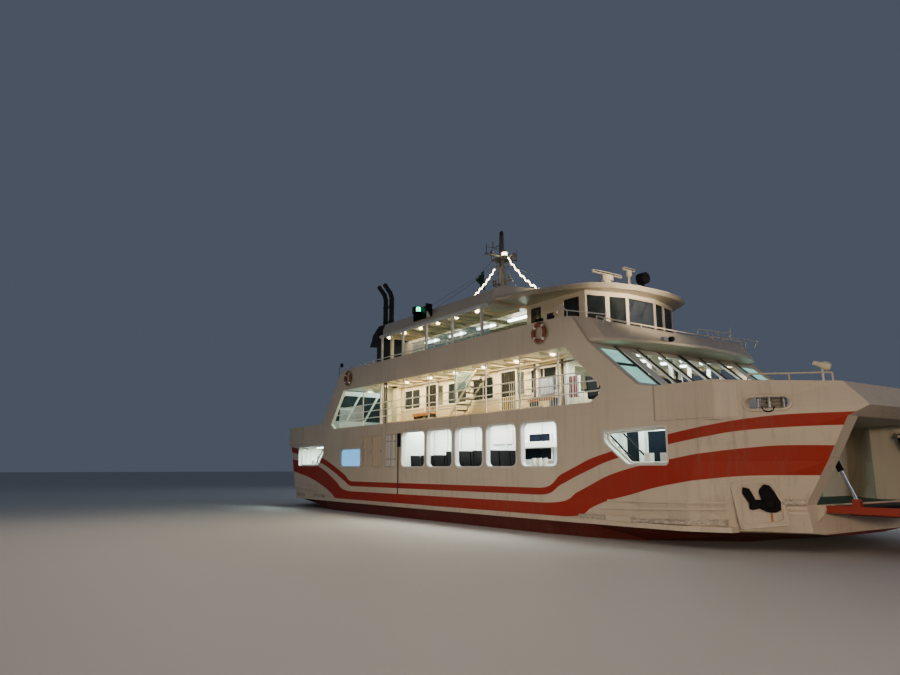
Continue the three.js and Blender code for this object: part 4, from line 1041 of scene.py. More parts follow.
def seat_pattern():
    """A seat with a tall back, facing forward, its foot at the origin"""
    cushion = [(-0.26, 0.40), (0.22, 0.43), (0.24, 0.50), (-0.20, 0.50)]
    back = [(-0.20, 0.46), (-0.27, 1.12), (-0.30, 1.22), (-0.37, 1.22), (-0.36, 1.10), (-0.28, 0.44)]
    return Shape().slab(on_side(cushion, -0.24), (0, 0.48, 0)).slab(on_side(back, -0.23), (0, 0.46, 0))


def build_cabins():
    shape = Shape()
    wall = -LANE_WALL_Y - 0.04
    floor, ceiling = CABIN_FLOOR_Z, CAR_CEILING_Z
    shape.boxes("deck_and_ceiling", (-5.2, 9.3, -INNER_Y, wall, CAR_DECK_Z, floor))
    for y in (-4.12, -3.60, -3.08):
        row(shape, seat_pattern(), (-0.75, y, floor), (0.92, 0, 0), 3, "seat_black")
        row(shape, seat_pattern(), (2.01, y, floor + 0.13), (0.92, 0, 0), 4, "seat_black")
    leg = Shape().box((-0.05, -0.75, 0), (0.05, 0.75, 0.52))
    row(shape, leg, (-0.75, -3.6, floor), (0.92, 0, 0), 7, "steel")
    # White stools by the fifth window
    for x in (6.2, 6.5, 6.8):
        shape.rod((x, -3.6, floor), (x, -3.6, 2.48), 0.085, "white_trim")
    # Ceiling: boxed lamps and a duct
    tube_lamp = Shape().box((-0.55, -0.09, -0.06), (0.55, 0.09, 0.0))
    row(shape, tube_lamp, (-0.5, -3.6, ceiling), (1.85, 0, 0), 6, "cool_lamp")
    shape.boxes("inner_white", (-7.4, 9.4, -4.42, -4.22, 3.72, ceiling))
    # Bulkheads across the cabin
    for x in (-5.3, -1.75, 9.35):
        shape.boxes("inner_white", (x - 0.03, x + 0.03, -INNER_Y, -LANE_WALL_Y, CAR_DECK_Z, ceiling))
    rib = Shape().box((-0.03, -0.03, 0), (0.03, 0.0, ceiling - floor))
    row(shape, rib, (-4.9, wall, floor), (1.05, 0, 0), 14, "inner_white")
    # Dark windows in the lane wall, with the beam between them
    for x0, x1, z0, z1 in ((-3.50, -2.60, 3.42, 3.78), (4.95, 6.12, 3.12, 3.40), (4.62, 6.17, 2.45, 2.86)):
        shape.boxes("navy_dark", (x0, x1, wall - 0.03, wall, z0, z1))
        flat_frame(shape, (x0 - 0.06, x1 + 0.06, z0 - 0.05, z1 + 0.05, 0.03, 1), (x0, x1, z0, z1, 0.03, 1),
                   wall - 0.045, 0.045)
    shape.boxes("white_trim", (4.2, 8.9, -2.96, wall, 2.89, 3.08),
                (2.66, 3.92, wall - 0.02, wall, 3.08, 3.66), (-2.5, 1.9, wall - 0.02, wall, 2.6, 2.66))
    shape.mirrored(1).place("cabins")

    # Frosted panes and doors that fill the lane wall's openings
    panes = Shape()
    for x0, x1, z0, z1 in LANE_OPENINGS:
        panes.boxes("frosted_glass", (x0 + 0.01, x1 - 0.01, -LANE_WALL_Y + 0.005, -LANE_WALL_Y + 0.03,
                                      z0 + 0.01, z1 - 0.01))
    panes.mirrored(1).place("lane_wall_panes")


# Promenade
DOOR_PANE_Z = (4.3, 5.88)
PANE_Z = (4.92, 5.78)
BOARDING_TOP_Z = 4.86


def build_promenade():
    shape = Shape()
    wall, floor, top = -SALOON_Y, SALOON_FLOOR_Z, SUN_DECK_Z
    # Boarding below the windows and between them
    for finish, proud, z0, z1 in (
            ("warm_boards", 0.025, floor, BOARDING_TOP_Z), ("white_trim", 0.05, BOARDING_TOP_Z, 4.90),
            ("warm_panel", 0.04, floor, floor + 0.12)):
        shape.boxes(finish, (SALOON_AFT_X, SALOON_FORE_X, wall - proud, wall, z0, z1))
    wide = 1.4
    bar = Shape().box((-0.012, -0.012, 0), (0.012, 0.012, 1.5))
    for i in range(6):
        x0 = SALOON_AFT_X + 0.6 + i * 1.85
        if i in (1, 4):
            # Glazed sliding door with its grille of bars
            flat_frame(shape, (x0 - 0.05, x0 + 1.05, 4.12, 6.0, 0.02, 1),
                       (x0 + 0.05, x0 + 0.95, *DOOR_PANE_Z, 0.02, 1), wall - 0.06, 0.035)
            shape.boxes("dark_glass", (x0 + 0.05, x0 + 0.95, wall - 0.012, wall - 0.002, *DOOR_PANE_Z))
            row(shape, bar, (x0 + 0.14, wall - 0.045, 4.32), (0.12, 0, 0), 7, "dark_trim")
        else:
            flat_frame(shape, (x0 - 0.06, x0 + wide + 0.06, 4.84, 5.86, 0.05),
                       (x0 + 0.02, x0 + wide - 0.02, *PANE_Z, 0.05), wall - 0.045, 0.045)
            middle = x0 + wide / 2
            shape.boxes("white_trim", (middle - 0.02, middle + 0.02, wall - 0.03, wall, 4.9, 5.8))
            shape.boxes("dark_glass", (x0 + 0.02, x0 + wide - 0.02, wall - 0.012, wall - 0.002, *PANE_Z))
    # Ceiling lamps, and beams under the sun deck
    oval = Shape().turned([(0, 0.15), (-0.05, 0.13), (-0.07, 0.06)], sides=16)
    row(shape, oval, (-4.4, -3.85, top), (1.985, 0, 0), 8, "warm_lamp")
    beam = Shape().box((-0.03, -0.62, -0.09), (0.03, 0.62, 0))
    row(shape, beam, (-5.35, -3.8, top), (0.9925, 0, 0), 15, "warm_panel")
    shape.boxes("warm_panel", (-7.2, 8.7, -3.42, -3.3, 5.98, top))
    # Benches
    for x0, x1, y in ((6.3, 7.63, -3.95), (-2.2, -0.8, -3.6)):
        for k in range(5):
            shape.boxes("bench_wood", (x0, x1, y + k * 0.09, y + k * 0.09 + 0.07, 4.56, 4.60))
        shape.boxes("bench_wood", (x0, x1, y - 0.02, y, 4.46, 4.60))
        for x in (x0 + 0.1, x1 - 0.16):
            shape.boxes("dark_trim", (x, x + 0.06, y, y + 0.42, floor, 4.56))
    # Columns at the after end of the saloon, in lighter cream as a painted highlight, and posts at its fore
    # end
    shape.boxes("cream_painted_highlight", (-5.15, -4.78, -3.42, -3.2, floor, top), (-4.38, -3.92, -3.42, -3.2, floor, top))
    for x in (5.98, 7.46):
        shape.boxes("dark_trim", (x - 0.07, x + 0.05, -3.28, -3.16, floor, top))
        shape.boxes("white_trim", (x + 0.07, x + 0.19, -3.28, -3.16, floor, top))
    shape.boxes("dark_trim", (5.2, 8.6, -3.44, -3.38, 5.80, 5.87))
    # Blank notice board, and a folded striped screen
    shape.boxes("notice_blue", (6.20, 6.92, -3.24, -3.20, 4.80, 5.42))
    for k in range(5):
        x, red = 7.48 + 0.12 * k, k % 2
        colour = "banner_red" if red else "white_trim"
        shape.boxes(colour, (x, x + 0.10, -3.08 - 0.04 * red, -2.98, 4.6, 5.35))
    # Stair up to the sun deck, with the glass panel beside it; the stair's side rails are lighter cream, a
    # painted highlight
    for y in (-3.95, -3.30):
        shape.tube([(1.2, y, floor + 0.05), (3.3, y, top)], 0.035, "cream_painted_highlight")
        shape.tube([(1.71, y, 5.24), (2.8, y, 5.88)], 0.022, "dark_trim")
    tread = Shape().box((-0.13, -0.32, -0.02), (0.13, 0.32, 0.02))
    row(shape, tread, (1.36, -3.62, 4.28), (0.245, 0, 0.225), 8, "dark_trim")
    screen = [(1.7, 5.2), (1.7, 6.07), (2.85, 6.03), (2.85, 5.34)]
    shape.slab(on_side(screen, -3.97), (0, 0.01, 0), "screen_glass")
    # Coaming along the foot of the opening, in lighter cream as a painted highlight
    shape.boxes("cream_painted_highlight", (-3.2, 7.7, -4.44, -4.38, SILL_Z, SILL_Z + 0.07))
    shape.mirrored(1).place("promenade_fittings")

    rails = Shape()
    pitch = bpy.context.scene.ferry_sizes.baluster_pitch
    bar = Shape().rod((0, 0, 0), (0, 0, 1.0), 0.011, sides=6)
    y = -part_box("promenade_rails_stbd")[1].y - 0.032
    for x0, x1 in ((-8.05, -5.5), (5.9, 9.85)):
        row(rails, bar, (x0, y, SILL_Z), (pitch, 0, 0), int((x1 - x0) / pitch), "white_trim")
    for x, finish in ((-3.68, "white_trim"), (-3.38, "dark_trim"), (-3.18, "dark_trim")):
        rails.rod((x, y, SILL_Z), (x, y, top), 0.045, finish)
    rails.mirrored(1).place("promenade_balusters", slot="rail_paint")


# Raked windows before and behind the saloon
RAKE = 1.2129
RAKE_PANES = (-4.3, -3.35, -2.25, -1.15, -0.05, 0.05, 1.15, 2.25, 3.35, 4.3)
FOOT_FORE = 12.4
FOOT_AFT = -10.3


def raked(foot, end, out, y0, y1, z0, z1):
    """The corners of an upright strip on the raked plane, moved out by a distance"""
    corners = ((y0, z0), (y1, z0), (y1, z1), (y0, z1))
    return [(foot - end * RAKE * (z - SALOON_FLOOR_Z) + end * out, y, z) for y, z in corners]


def build_raked_windows():
    panes, bars = Shape(), Shape()
    for foot, end in ((FOOT_FORE, 1), (FOOT_AFT, -1)):
        for left, right in zip(RAKE_PANES, RAKE_PANES[1:]):
            if right - left < 0.2:
                continue
            y0, y1 = left + 0.05, right - 0.05
            outer = abs(left + right) / 2 > 3.3
            finish = "dark_glass"
            if end > 0:
                finish = "teal_glass" if outer else "clear_glass"
            z0, z1 = 4.65, 6.0 if outer and end > 0 else 5.9
            panes.slab(raked(foot, end, -0.05, y0, y1, z0, z1), (-end * 0.012, 0, 0), finish)
            if outer:
                middle = (z0 + z1) / 2
                bars.slab(raked(foot, end, 0.015, y0, y1, middle - 0.05, middle + 0.05), (-end * 0.1, 0, 0),
                          "dark_trim" if end > 0 else "white_trim")
        for y in RAKE_PANES:
            if end > 0 and abs(y) < 3.4:
                bars.slab(raked(foot, end, 0.012, y - 0.07, y + 0.07, 4.5, 6.08), (-0.03, 0, 0), "dark_trim")
    # Seats, posts and lamps behind the fore windows
    for x in (8.5, 9.7):
        row(bars, seat_pattern(), (x, -2.6, SALOON_FLOOR_Z), (0, 0.65, 0), 9, "seat_black")
    for y in (-2.9, -1.7, -0.6, 0.6, 1.7, 2.9):
        bars.boxes("white_trim", (9.1, 9.2, y - 0.05, y + 0.05, SALOON_FLOOR_Z, SUN_DECK_Z))
    for y in (-3.02, 3.02):
        bars.slab(raked(FOOT_FORE, 1, 0.014, y - 0.2, y + 0.2, 4.6, 6.0), (-0.03, 0, 0), "inner_white")
    oval = Shape().turned([(0, 0.16), (-0.05, 0.14), (-0.07, 0.06)], sides=16)
    for x in (8.4, 9.3):
        row(bars, oval, (x, -2.4, SUN_DECK_Z), (0, 1.2, 0), 5, "cool_lamp")
    panes.place("raked_panes")
    bars.place("raked_bars")


# Wheelhouse
HOUSE_AFT_X = 4.70
HOUSE_FORE_X = 8.44
HOUSE_Y = 2.5
HOUSE_PLAN = ((HOUSE_AFT_X, HOUSE_Y), (7.93, HOUSE_Y), (8.20, 1.60), (HOUSE_FORE_X, 0.79))
HOUSE_PANE_Z = (7.33, 8.40)
# Panes along the plan: first corner of the wall, and the shares of its length where the pane starts and ends
HOUSE_PANES = ((0, 0.07, 0.26), (0, 0.647, 0.904), (1, 0.09, 0.90), (2, 0.10, 0.92))


def build_wheelhouse():
    panes, trim = Shape(), Shape()
    z0, z1 = HOUSE_PANE_Z

    def facet(start, end):
        """One pane, set into the wall between two places on the plan"""
        a, b = Vector(start), Vector(end)
        along_facet = (b - a).normalized()
        inward = Vector((along_facet.y, -along_facet.x))
        if inward.dot(Vector((6.4, 0)) - (a + b) / 2) < 0:
            inward = -inward

        def upright(deep, low, high):
            first, last = a + inward * deep, b + inward * deep
            return [(*place, z) for place, z in ((first, low), (last, low), (last, high), (first, high))]

        panes.slab(upright(0.035, z0, z1), (inward.x * 0.01, inward.y * 0.01, 0), "dark_glass")
        for z in (z0 - 0.03, z1 - 0.01):
            trim.slab(upright(-0.012, z, z + 0.04), (inward.x * 0.04, inward.y * 0.04, 0), "cream_paint")

    for _, side in SIDES:
        plan = [Vector((x, side * y)) for x, y in HOUSE_PLAN]
        for index, start, end in HOUSE_PANES:
            facet(plan[index].lerp(plan[index + 1], start), plan[index].lerp(plan[index + 1], end))
        facet((HOUSE_AFT_X, side * 0.3), (HOUSE_AFT_X, side * 1.7))
    facet((HOUSE_FORE_X, -0.71), (HOUSE_FORE_X, 0.71))
    panes.place("wheelhouse_panes")

    # Console, chairs and window wipers
    floor = SUN_FLOOR_Z
    console = [(7.0, floor), (7.75, floor), (7.75, 7.28), (7.35, 7.34), (6.95, 7.12)]
    trim.slab(on_side(console, -1.7), (0, 3.4, 0), "dark_trim")
    for y in (-0.9, 0.9):
        trim.rod((6.3, y, floor), (6.3, y, 6.85), 0.05, "steel")
        trim.boxes("seat_black", (6.05, 6.55, y - 0.25, y + 0.25, 6.85, 6.97),
                   (6.0, 6.1, y - 0.24, y + 0.24, 6.95, 7.65))
        trim.rod((8.47, y * 0.4, 8.38), (8.47, y * 0.4 - 0.35, 7.75), 0.012, "dark_trim")
    trim.turned([(-0.02, 0.28), (0.02, 0.28)], (6.9, 0, 7.25), (-1, 0, 0.25), "dark_trim")
    trim.place("wheelhouse_fittings")

    for name, side in SIDES:
        leaf = Shape()
        face = side * HOUSE_Y
        leaf.boxes("dark_glass", (5.86, 6.32, *sorted((face - side * 0.02, face - side * 0.03)), 7.34, 8.04))
        proud = face + side * 0.008
        outer = grown(rectangle(5.85, 6.33, 7.33, 8.05, 0.05), 0.03)
        inner = rectangle(5.87, 6.31, 7.35, 8.03, 0.05)
        leaf.rim(on_side(outer, proud), on_side(inner, proud), (0, -side * 0.012, 0), "cream_paint")
        for base, stand in ((face, face + side * 0.035), (face - side * 0.05, face - side * 0.085)):
            leaf.rod((5.79, base, 7.12), (5.79, stand, 7.12), 0.012, "steel")
            leaf.rod((5.79, stand, 7.12), (5.90, stand, 7.12), 0.011, "steel")
        leaf.place(f"wheelhouse_door_trim_{name}", f"wheelhouse_door_{name}")


# Canopy and sun deck
CANOPY_POSTS_X = (-3.6, -1.66, 0.32, 2.28, 4.3)
WINDBREAK_Z = 7.80
BENCHES_X = (-3.6, -1.6, 0.4, 2.4)
BENCHES_Y = (-2.4, 0.0, 2.4)


def build_canopy():
    shape = Shape()
    pitch = bpy.context.scene.ferry_sizes.beam_pitch
    floor = SUN_FLOOR_Z
    count = int((CANOPY_FORE_X - CANOPY_AFT_X - 0.3) / pitch)
    beam = Shape().box((-0.04, -4.2, -0.10), (0.04, 4.2, 0))
    row(shape, beam, (CANOPY_AFT_X + 0.25, 0, CANOPY_Z), (pitch, 0, 0), count, "warm_panel")
    for y in (-2.8, -1.4, 0, 1.4, 2.8):
        shape.boxes("warm_panel", (CANOPY_AFT_X + 0.1, CANOPY_FORE_X - 0.1, y - 0.03, y + 0.03,
                                   CANOPY_Z - 0.14, CANOPY_Z))
    bulb = Shape().turned([(0, 0.07), (-0.07, 0.09), (-0.12, 0.05)], sides=12)
    tube_lamp = Shape().box((-0.6, -0.07, -0.07), (0.6, 0.07, 0))
    for _, side in SIDES:
        row(shape, bulb, (-3.6, side * 4.1, CANOPY_Z - 0.02), (1.42, 0, 0), 6, "warm_lamp")
        row(shape, tube_lamp, (-2.9, side * 2.1, CANOPY_Z - 0.14), (2.2, 0, 0), 4, "cool_lamp")
    # Edge rim and a handrail on the band
    post = Shape().rod((0, 0, 0), (0, 0, 0.14), 0.014, sides=6)
    for _, side in SIDES:
        edge = [(x, side * 4.25, CANOPY_Z + 0.06) for x in (CANOPY_AFT_X, CANOPY_FORE_X)]
        shape.tube(edge, 0.035, "cream_paint")
        y = side * (SIDE_Y - 0.08)
        shape.rod((BAND_AFT_X + 0.1, y, BAND_TOP_Z + 0.14), (4.3, y, BAND_TOP_Z + 0.14), 0.022, "white_trim")
        row(shape, post, (BAND_AFT_X + 0.2, y, BAND_TOP_Z), (0.9, 0, 0), 13, "white_trim")
        # Rail on the hump before the wheelhouse
        y, fore_y = side * 4.35, side * 4.2
        hump = [(8.2, y, 7.35), (8.56, y, 7.65), (8.81, y, 7.40), (10.5, fore_y, 6.96)]
        shape.tube(hump, 0.02, "white_trim")
        shape.rod((8.87, y, 6.9), (8.87, y, 7.38), 0.016, "white_trim")
        shape.rod((10.31, side * 4.22, 6.70), (10.5, fore_y, 6.96), 0.018, "white_trim")
        # Glass windbreak between the posts, with its rails
        y = side * 4.02
        for x0, x1 in zip(CANOPY_POSTS_X[1:], CANOPY_POSTS_X[2:]):
            shape.boxes("screen_glass", (x0 + 0.1, x1 - 0.1, y - 0.008, y + 0.008, floor + 0.1, 7.78))
            shape.rod((x0, y, WINDBREAK_Z), (x1, y, WINDBREAK_Z), 0.018, "white_trim")
            middle = (x0 + x1) / 2
            shape.rod((middle, y, floor), (middle, y, WINDBREAK_Z), 0.016, "white_trim")
        # A post and a panel in lighter cream, a painted highlight
        shape.boxes("cream_painted_highlight", (-3.22, -3.08, side * 4.2 - 0.07, side * 4.2 + 0.07, floor, CANOPY_Z),
                    (-4.1, -2.15, side * 3.0 - 0.02, side * 3.0 + 0.02, floor, 8.28))
    # Thin pole with its lamp at the band's after end
    shape.rod((-8.3, -4.45, 6.8), (-8.3, -4.45, 7.42), 0.014, "dark_trim")
    shape.boxes("black_iron", (-8.05, -7.95, -4.52, -4.40, 7.40, 7.60))
    # Benches back to back on the sun deck
    seat_z = floor + 0.4
    for y in BENCHES_Y:
        for x in BENCHES_X:
            for leg_x in (x, x + 1.3):
                shape.boxes("steel", (leg_x, leg_x + 0.06, y - 0.42, y + 0.42, floor, seat_z))
            shape.boxes("seat_blue", (x, x + 1.36, y - 0.25 - 0.2, y - 0.25 + 0.2, seat_z, floor + 0.45),
                        (x, x + 1.36, y + 0.25 - 0.2, y + 0.25 + 0.2, seat_z, floor + 0.45),
                        (x, x + 1.36, y - 0.03, y + 0.03, floor + 0.42, floor + 0.85))
    shape.place("canopy_fittings")


# Lifebuoys on the sun deck's band
BUOY_R = 0.29
BUOY_THICK = 0.068
# Station and height of each
BUOYS = ((7.80, 6.74), (-6.81, 6.66))


def build_lifebuoys():
    shape = Shape()
    y = -SIDE_Y - BUOY_THICK - 0.012
    for x, z in BUOYS:
        def round_buoy(turns, out=lambda turn: BUOY_R):
            return [(x + out(t) * math.cos(t), y, z + out(t) * math.sin(t)) for t in turns]

        def grab_line(turn):
            return BUOY_R + BUOY_THICK + 0.006 + 0.035 * abs(math.sin(2 * (turn - math.radians(45))))

        # The buoy's orange is painted darker, as painted shade
        shape.tube(round_buoy([TURN * k / 40 for k in range(40)]), BUOY_THICK, "shaded_buoy_orange", 14, closed=True)
        for k in range(4):
            middle = math.radians(45 + 90 * k)
            band = round_buoy([middle + math.radians(a) for a in (-9, -4.5, 0, 4.5, 9)])
            shape.tube(band, BUOY_THICK + 0.004, "white_trim", 14)
        shape.tube(round_buoy([TURN * k / 48 for k in range(48)], grab_line), 0.007, "rope", 6, closed=True)
        for hook_x in (x - 0.12, x + 0.12):
            hook = ((-SIDE_Y, z - 0.36), (y - 0.03, z - 0.36), (y - 0.07, z - 0.30))
            shape.tube([(hook_x, *place) for place in hook], 0.009, "steel", 6)
    # Bracket and small lamp over the fore buoy
    x, z = BUOYS[0][0], BUOYS[0][1] + 0.40
    shape.boxes("black_iron", (x - 0.16, x + 0.16, -SIDE_Y - 0.10, -SIDE_Y, z, z + 0.10))
    shape.rod(*((x - 0.02, -SIDE_Y - 0.12, z + rise) for rise in (0.02, 0.14)), 0.035, "clear_glass")
    shape.mirrored(1).place("lifebuoys")


# Mast and flag
MAST_X = 0.1
MAST_SLOT = "mast_paint"
# Corners of the flag, along its hoist and along its fly
FLAG_HEAD, FLAG_FOOT = (-1.35, 0, 11.92), (-1.28, 0, 10.82)
FLAG_FLY, FLAG_LOWER = (-2.06, 0, 11.52), (-1.55, 0, 11.12)
# Strings of lamps: start, end, sag
STRINGS = (((0.75, -0.15, 12.0), (5.4, -2.2, 9.06), 0.22), ((-0.1, -0.3, 11.6), (1.8, -3.2, 9.32), 0.12))


def sagging(start, end, sag, steps):
    """Places along a line that hangs between two places"""
    a, b = Vector(start), Vector(end)
    shares = [k / steps for k in range(steps + 1)]
    return [a.lerp(b, share) - Vector((0, 0, sag * 4 * share * (1 - share))) for share in shares]


def build_mast():
    shape = Shape()
    x, iron = MAST_X, "mast_grey"
    # Ladder on the after side
    for y in (-0.16, 0.16):
        shape.rod((x - 0.26, y, 9.46), (x - 0.2, y, 12.0), 0.016, iron)
    rung = Shape().rod((0, -0.16, 0), (0, 0.16, 0), 0.011, sides=6)
    row(shape, rung, (x - 0.255, 0, 9.6), (0.0055, 0, 0.27), 9, iron)
    # Yard braces and lamp brackets
    for _, side in SIDES:
        shape.rod((x, side * 0.08, 11.5), (x, side * 0.75, 12.22), 0.02, iron)
        shape.rod((x, side * 0.95, 12.28), (x, side * 0.95, 12.75), 0.015, iron)
        shape.turned([(0, 0.03), (0.02, 0.06), (0.16, 0.06), (0.19, 0.02)], (x, side * 0.62, 12.28), UP, iron)
        shape.turned([(0, 0.05), (0.09, 0.05)], (x, side * 0.62, 12.31), UP, "clear_glass")
    for end in (-1, 1):
        shape.rod((x + end * 0.1, 0, 10.6), (x + end * 0.6, 0, 10.92), 0.02, iron)
        cover = [(0, 0.06), (0.05, 0.08), (0.2, 0.08), (0.24, 0.03)]
        shape.turned(cover, (x + end * 0.6, 0, 10.98), UP, iron)
    # Masthead light, horn and aerials
    shape.turned([(0, 0.10), (0.06, 0.12), (0.26, 0.12), (0.32, 0.05)], (x + 0.33, -0.1, 12.13), UP, iron)
    shape.turned([(0, 0.125), (0.14, 0.125)], (x + 0.33, -0.1, 12.21), UP, "warm_lamp")
    shape.turned([(0, 0.04), (0.22, 0.05), (0.38, 0.13)], (x + 0.3, 0.22, 12.2), (1, 0, 0), iron)
    shape.turned([(0, 0.10), (0.16, 0.10), (0.2, 0.04)], (x, 0, MAST_TOP_Z - 0.22), UP, "dark_trim")
    shape.rod((x - 0.6, 0.02, 12.28), (x - 0.6, 0.02, 13.35), 0.010, "white_trim")
    shape.tube([(x - 0.1, 0.05, 12.9), (x - 0.75, 0.05, 12.9), (x - 0.75, 0.05, 13.2)], 0.02, iron)
    shape.tube([(x - 0.75, -0.35, 12.9), (x - 0.75, 0.4, 12.9)], 0.014, iron)
    # Stays to the canopy
    for foot in ((-3.6, -3.2, 9.28), (-3.6, 3.2, 9.28), (4.3, -2.6, 9.33), (4.3, 2.6, 9.33)):
        shape.tube([(x, 0, 12.0), foot], 0.008, "steel", 6)
        shape.turned([(0, 0.04), (0.05, 0.03)], foot, UP, iron)
    # Halyard that the flag flies from, and its line to the canopy's edge
    shape.tube([(x - 0.7, 0, 12.25), FLAG_HEAD, FLAG_FOOT, (-0.2, 0, 9.45)], 0.007, "dark_trim", 6)
    shape.tube([FLAG_FLY, (0.2, -3.9, 9.16)], 0.007, "dark_trim", 6)
    shape.place("mast_fittings", slot=MAST_SLOT)

    lights = Shape()
    bulb = Shape().turned([(-0.03, 0.016), (0, 0.032), (0.03, 0.016)], sides=8)
    for start, end, sag in STRINGS:
        path = sagging(start, end, sag, 48)
        for k, place in enumerate(path):
            place.z += 0.05 * math.sin(0.9 * k)
        # The wire between the bulbs takes the lamp finish too and glows: painted light
        lights.tube(path, 0.011, "warm_lamp", 6)
        along(lights, bulb, path, 0.16, "warm_lamp")
    lights.place("light_strings", slot=MAST_SLOT)


FLAG_WIDE, FLAG_TALL = 0.85, 1.10
# Pleats that the flag hangs in: depth, and turns for each metre
FOLD_DEEP, FOLD_TURN = 0.055, 24.0


def build_flag():
    """A signal flag, held by its hoist, that hangs in pleats"""
    columns, rows = 36, 26
    points = []
    for r in range(rows + 1):
        for c in range(columns + 1):
            out, down = c / columns, r / rows
            upper = Vector(FLAG_HEAD).lerp(Vector(FLAG_FLY), out)
            place = upper.lerp(Vector(FLAG_FOOT).lerp(Vector(FLAG_LOWER), out), down)
            place.y += FOLD_DEEP * math.sin(FOLD_TURN * out * FLAG_WIDE + 1.2 * down) * min(1.0, 4 * out)
            points.append(place)
    width = columns + 1
    corners = [r * width + c for r in range(rows) for c in range(columns)]
    faces = [(a, a + 1, a + width + 1, a + width) for a in corners]
    flag = Shape().add(points, faces, "flag_cloth").place("signal_flag", slot=MAST_SLOT, sharp=180.0)


# Sidelights
def build_sidelights():
    for name, side in SIDES:
        shape = Shape()
        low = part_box(f"sidelight_{name}")[0]
        x, y, z = low.x + 0.64, side * 4.43, 9.14
        lens = "green_lamp" if side < 0 else "red_lamp"
        shape.turned([(-0.10, 0.08), (-0.08, 0.10), (0.08, 0.10), (0.10, 0.08)], (x, y, z), UP, lens)
        for lift in (-0.13, 0.11):
            shape.turned([(0, 0.12), (0.025, 0.12)], (x, y, z + lift), UP, "black_iron")
        # The gusset is lighter cream, a painted highlight
        gusset = [(0.34, 9.02), (0.34, 8.62), (0.62, 8.62)]
        shape.slab(on_side(gusset, side * 4.50), (0, -side * 0.02, 0), "cream_painted_highlight")
        for dx in (0.06, 1.3):
            shape.rod((low.x + dx, side * 4.18, 8.60), (low.x + dx, side * 4.30, 8.78), 0.015, "black_iron")
        shape.place(f"sidelight_lens_{name}", slot="exhaust_paint")


# Foredeck and afterdeck
FAIRLEAD_X = 15.47
FAIRLEAD_Z = 3.78
FAIRLEAD_HALF = 0.31
FAIRLEAD_R = 0.172
# The bulwark's taper in plan: station and half breadth where it starts and ends, and its slope
TAPER_X, TAPER_Y = 14.87, 4.13
TAPER_END_X, TAPER_END_Y = 17.35, 2.82
TAPER_SLOPE = 0.528
BITTS_Y = 3.5


def build_end_decks():
    shape = Shape()
    z, half, r = FAIRLEAD_Z, FAIRLEAD_HALF, FAIRLEAD_R * 1.06
    for _, end in ENDS:
        # Rims of the fairleads, which lie on the tapered bulwark
        for side in (-1, 1):
            ring = []
            for k in range(32):
                turn = TURN * k / 32
                x = FAIRLEAD_X + ((half if math.cos(turn) > 0 else -half) + r * math.cos(turn))
                y = TAPER_Y - (x - TAPER_X) / (TAPER_END_X - TAPER_X) * (TAPER_Y - TAPER_END_Y)
                ring.append((end * x, side * (y + 0.02), z + r * math.sin(turn)))
            shape.tube(ring, 0.042, "cream_paint", 8, closed=True)

            def inboard(x, deep):
                return side * (TAPER_Y - (x - TAPER_X) * TAPER_SLOPE - deep)

            # Rollers, and the mooring rope that lies behind them
            for x in (15.18, 15.42, 15.72):
                y = inboard(x, 0.20)
                shape.rod((end * x, y, z - 0.2), (end * x, y, z + 0.2), 0.045, "galvanised")
            coil = []
            for k in range(40):
                turn = 0.4 * k
                x = 15.45 + 0.26 * math.cos(turn)
                y = inboard(x, 0.34) - side * 0.03 * math.sin(turn)
                coil.append((end * x, y, z - 0.10 + 0.016 * turn))
            shape.tube(coil, 0.036, "rope", 8)
            loop = []
            for k in range(13):
                turn = math.pi + math.pi * k / 12
                x = 15.50 + 0.13 * math.cos(turn)
                loop.append((end * x, inboard(x, -0.05), z - 0.10 + 0.13 * math.sin(turn)))
            shape.tube(loop, 0.018, "black_iron", 8)
        # Caps of the bitts
        for side in (-1, 1):
            y = side * BITTS_Y
            cap = [(-0.02, 0.115), (0.0, 0.15), (0.03, 0.15), (0.05, 0.10)]
            for x in (13.3, 13.75):
                shape.turned(cap, (end * x, y, 4.04), UP, "black_iron")
            shape.boxes("black_iron", (*sorted((end * 13.1, end * 13.95)), y - 0.16, y + 0.16, 3.54, 3.58))
        # Windlass drums and gypsies
        drum = [(-0.06, 0.27), (-0.03, 0.27), (-0.02, 0.2), (0.02, 0.2), (0.03, 0.27), (0.06, 0.27)]
        for y in (-0.7, -0.42, 0.42, 0.7):
            shape.turned(drum, (end * 14.6, y, 4.0), (0, 1, 0), "black_iron")
    # Floodlights on the fore bulwark, their heads in lighter cream as a painted highlight
    for _, side in SIDES:
        place = Vector((16.55, side * 3.02, 4.52))
        shape.rod(place - Vector((0, 0, 0.3)), place + Vector((0, 0, 0.10)), 0.03, "white_trim")
        shape.turned([(-0.17, 0.02), (-0.15, 0.08), (-0.08, 0.115), (0.02, 0.11), (0.10, 0.07), (0.22, 0.055),
                      (0.26, 0.05)], place + Vector((0.05, 0, 0.16)),
                     Vector((-0.9, side * 0.25, 0.35)).normalized(), "cream_painted_highlight")
    shape.place("end_deck_fittings")


# Ledges, fenders and anchors along the ends of the hull
RAIL_PLAN = ((9.0, 4.69), (11.0, 4.69), (13.2, 4.56), (14.3, 3.96))
# Station, and half breadth below and above the knuckle
HULL_PLAN = (
    (9.0, 4.54, 4.60), (11.2, 4.54, 4.60), (13.4, 4.38, 4.60), (14.6, 3.45, 3.80), (15.8, 2.75, 3.00),
)
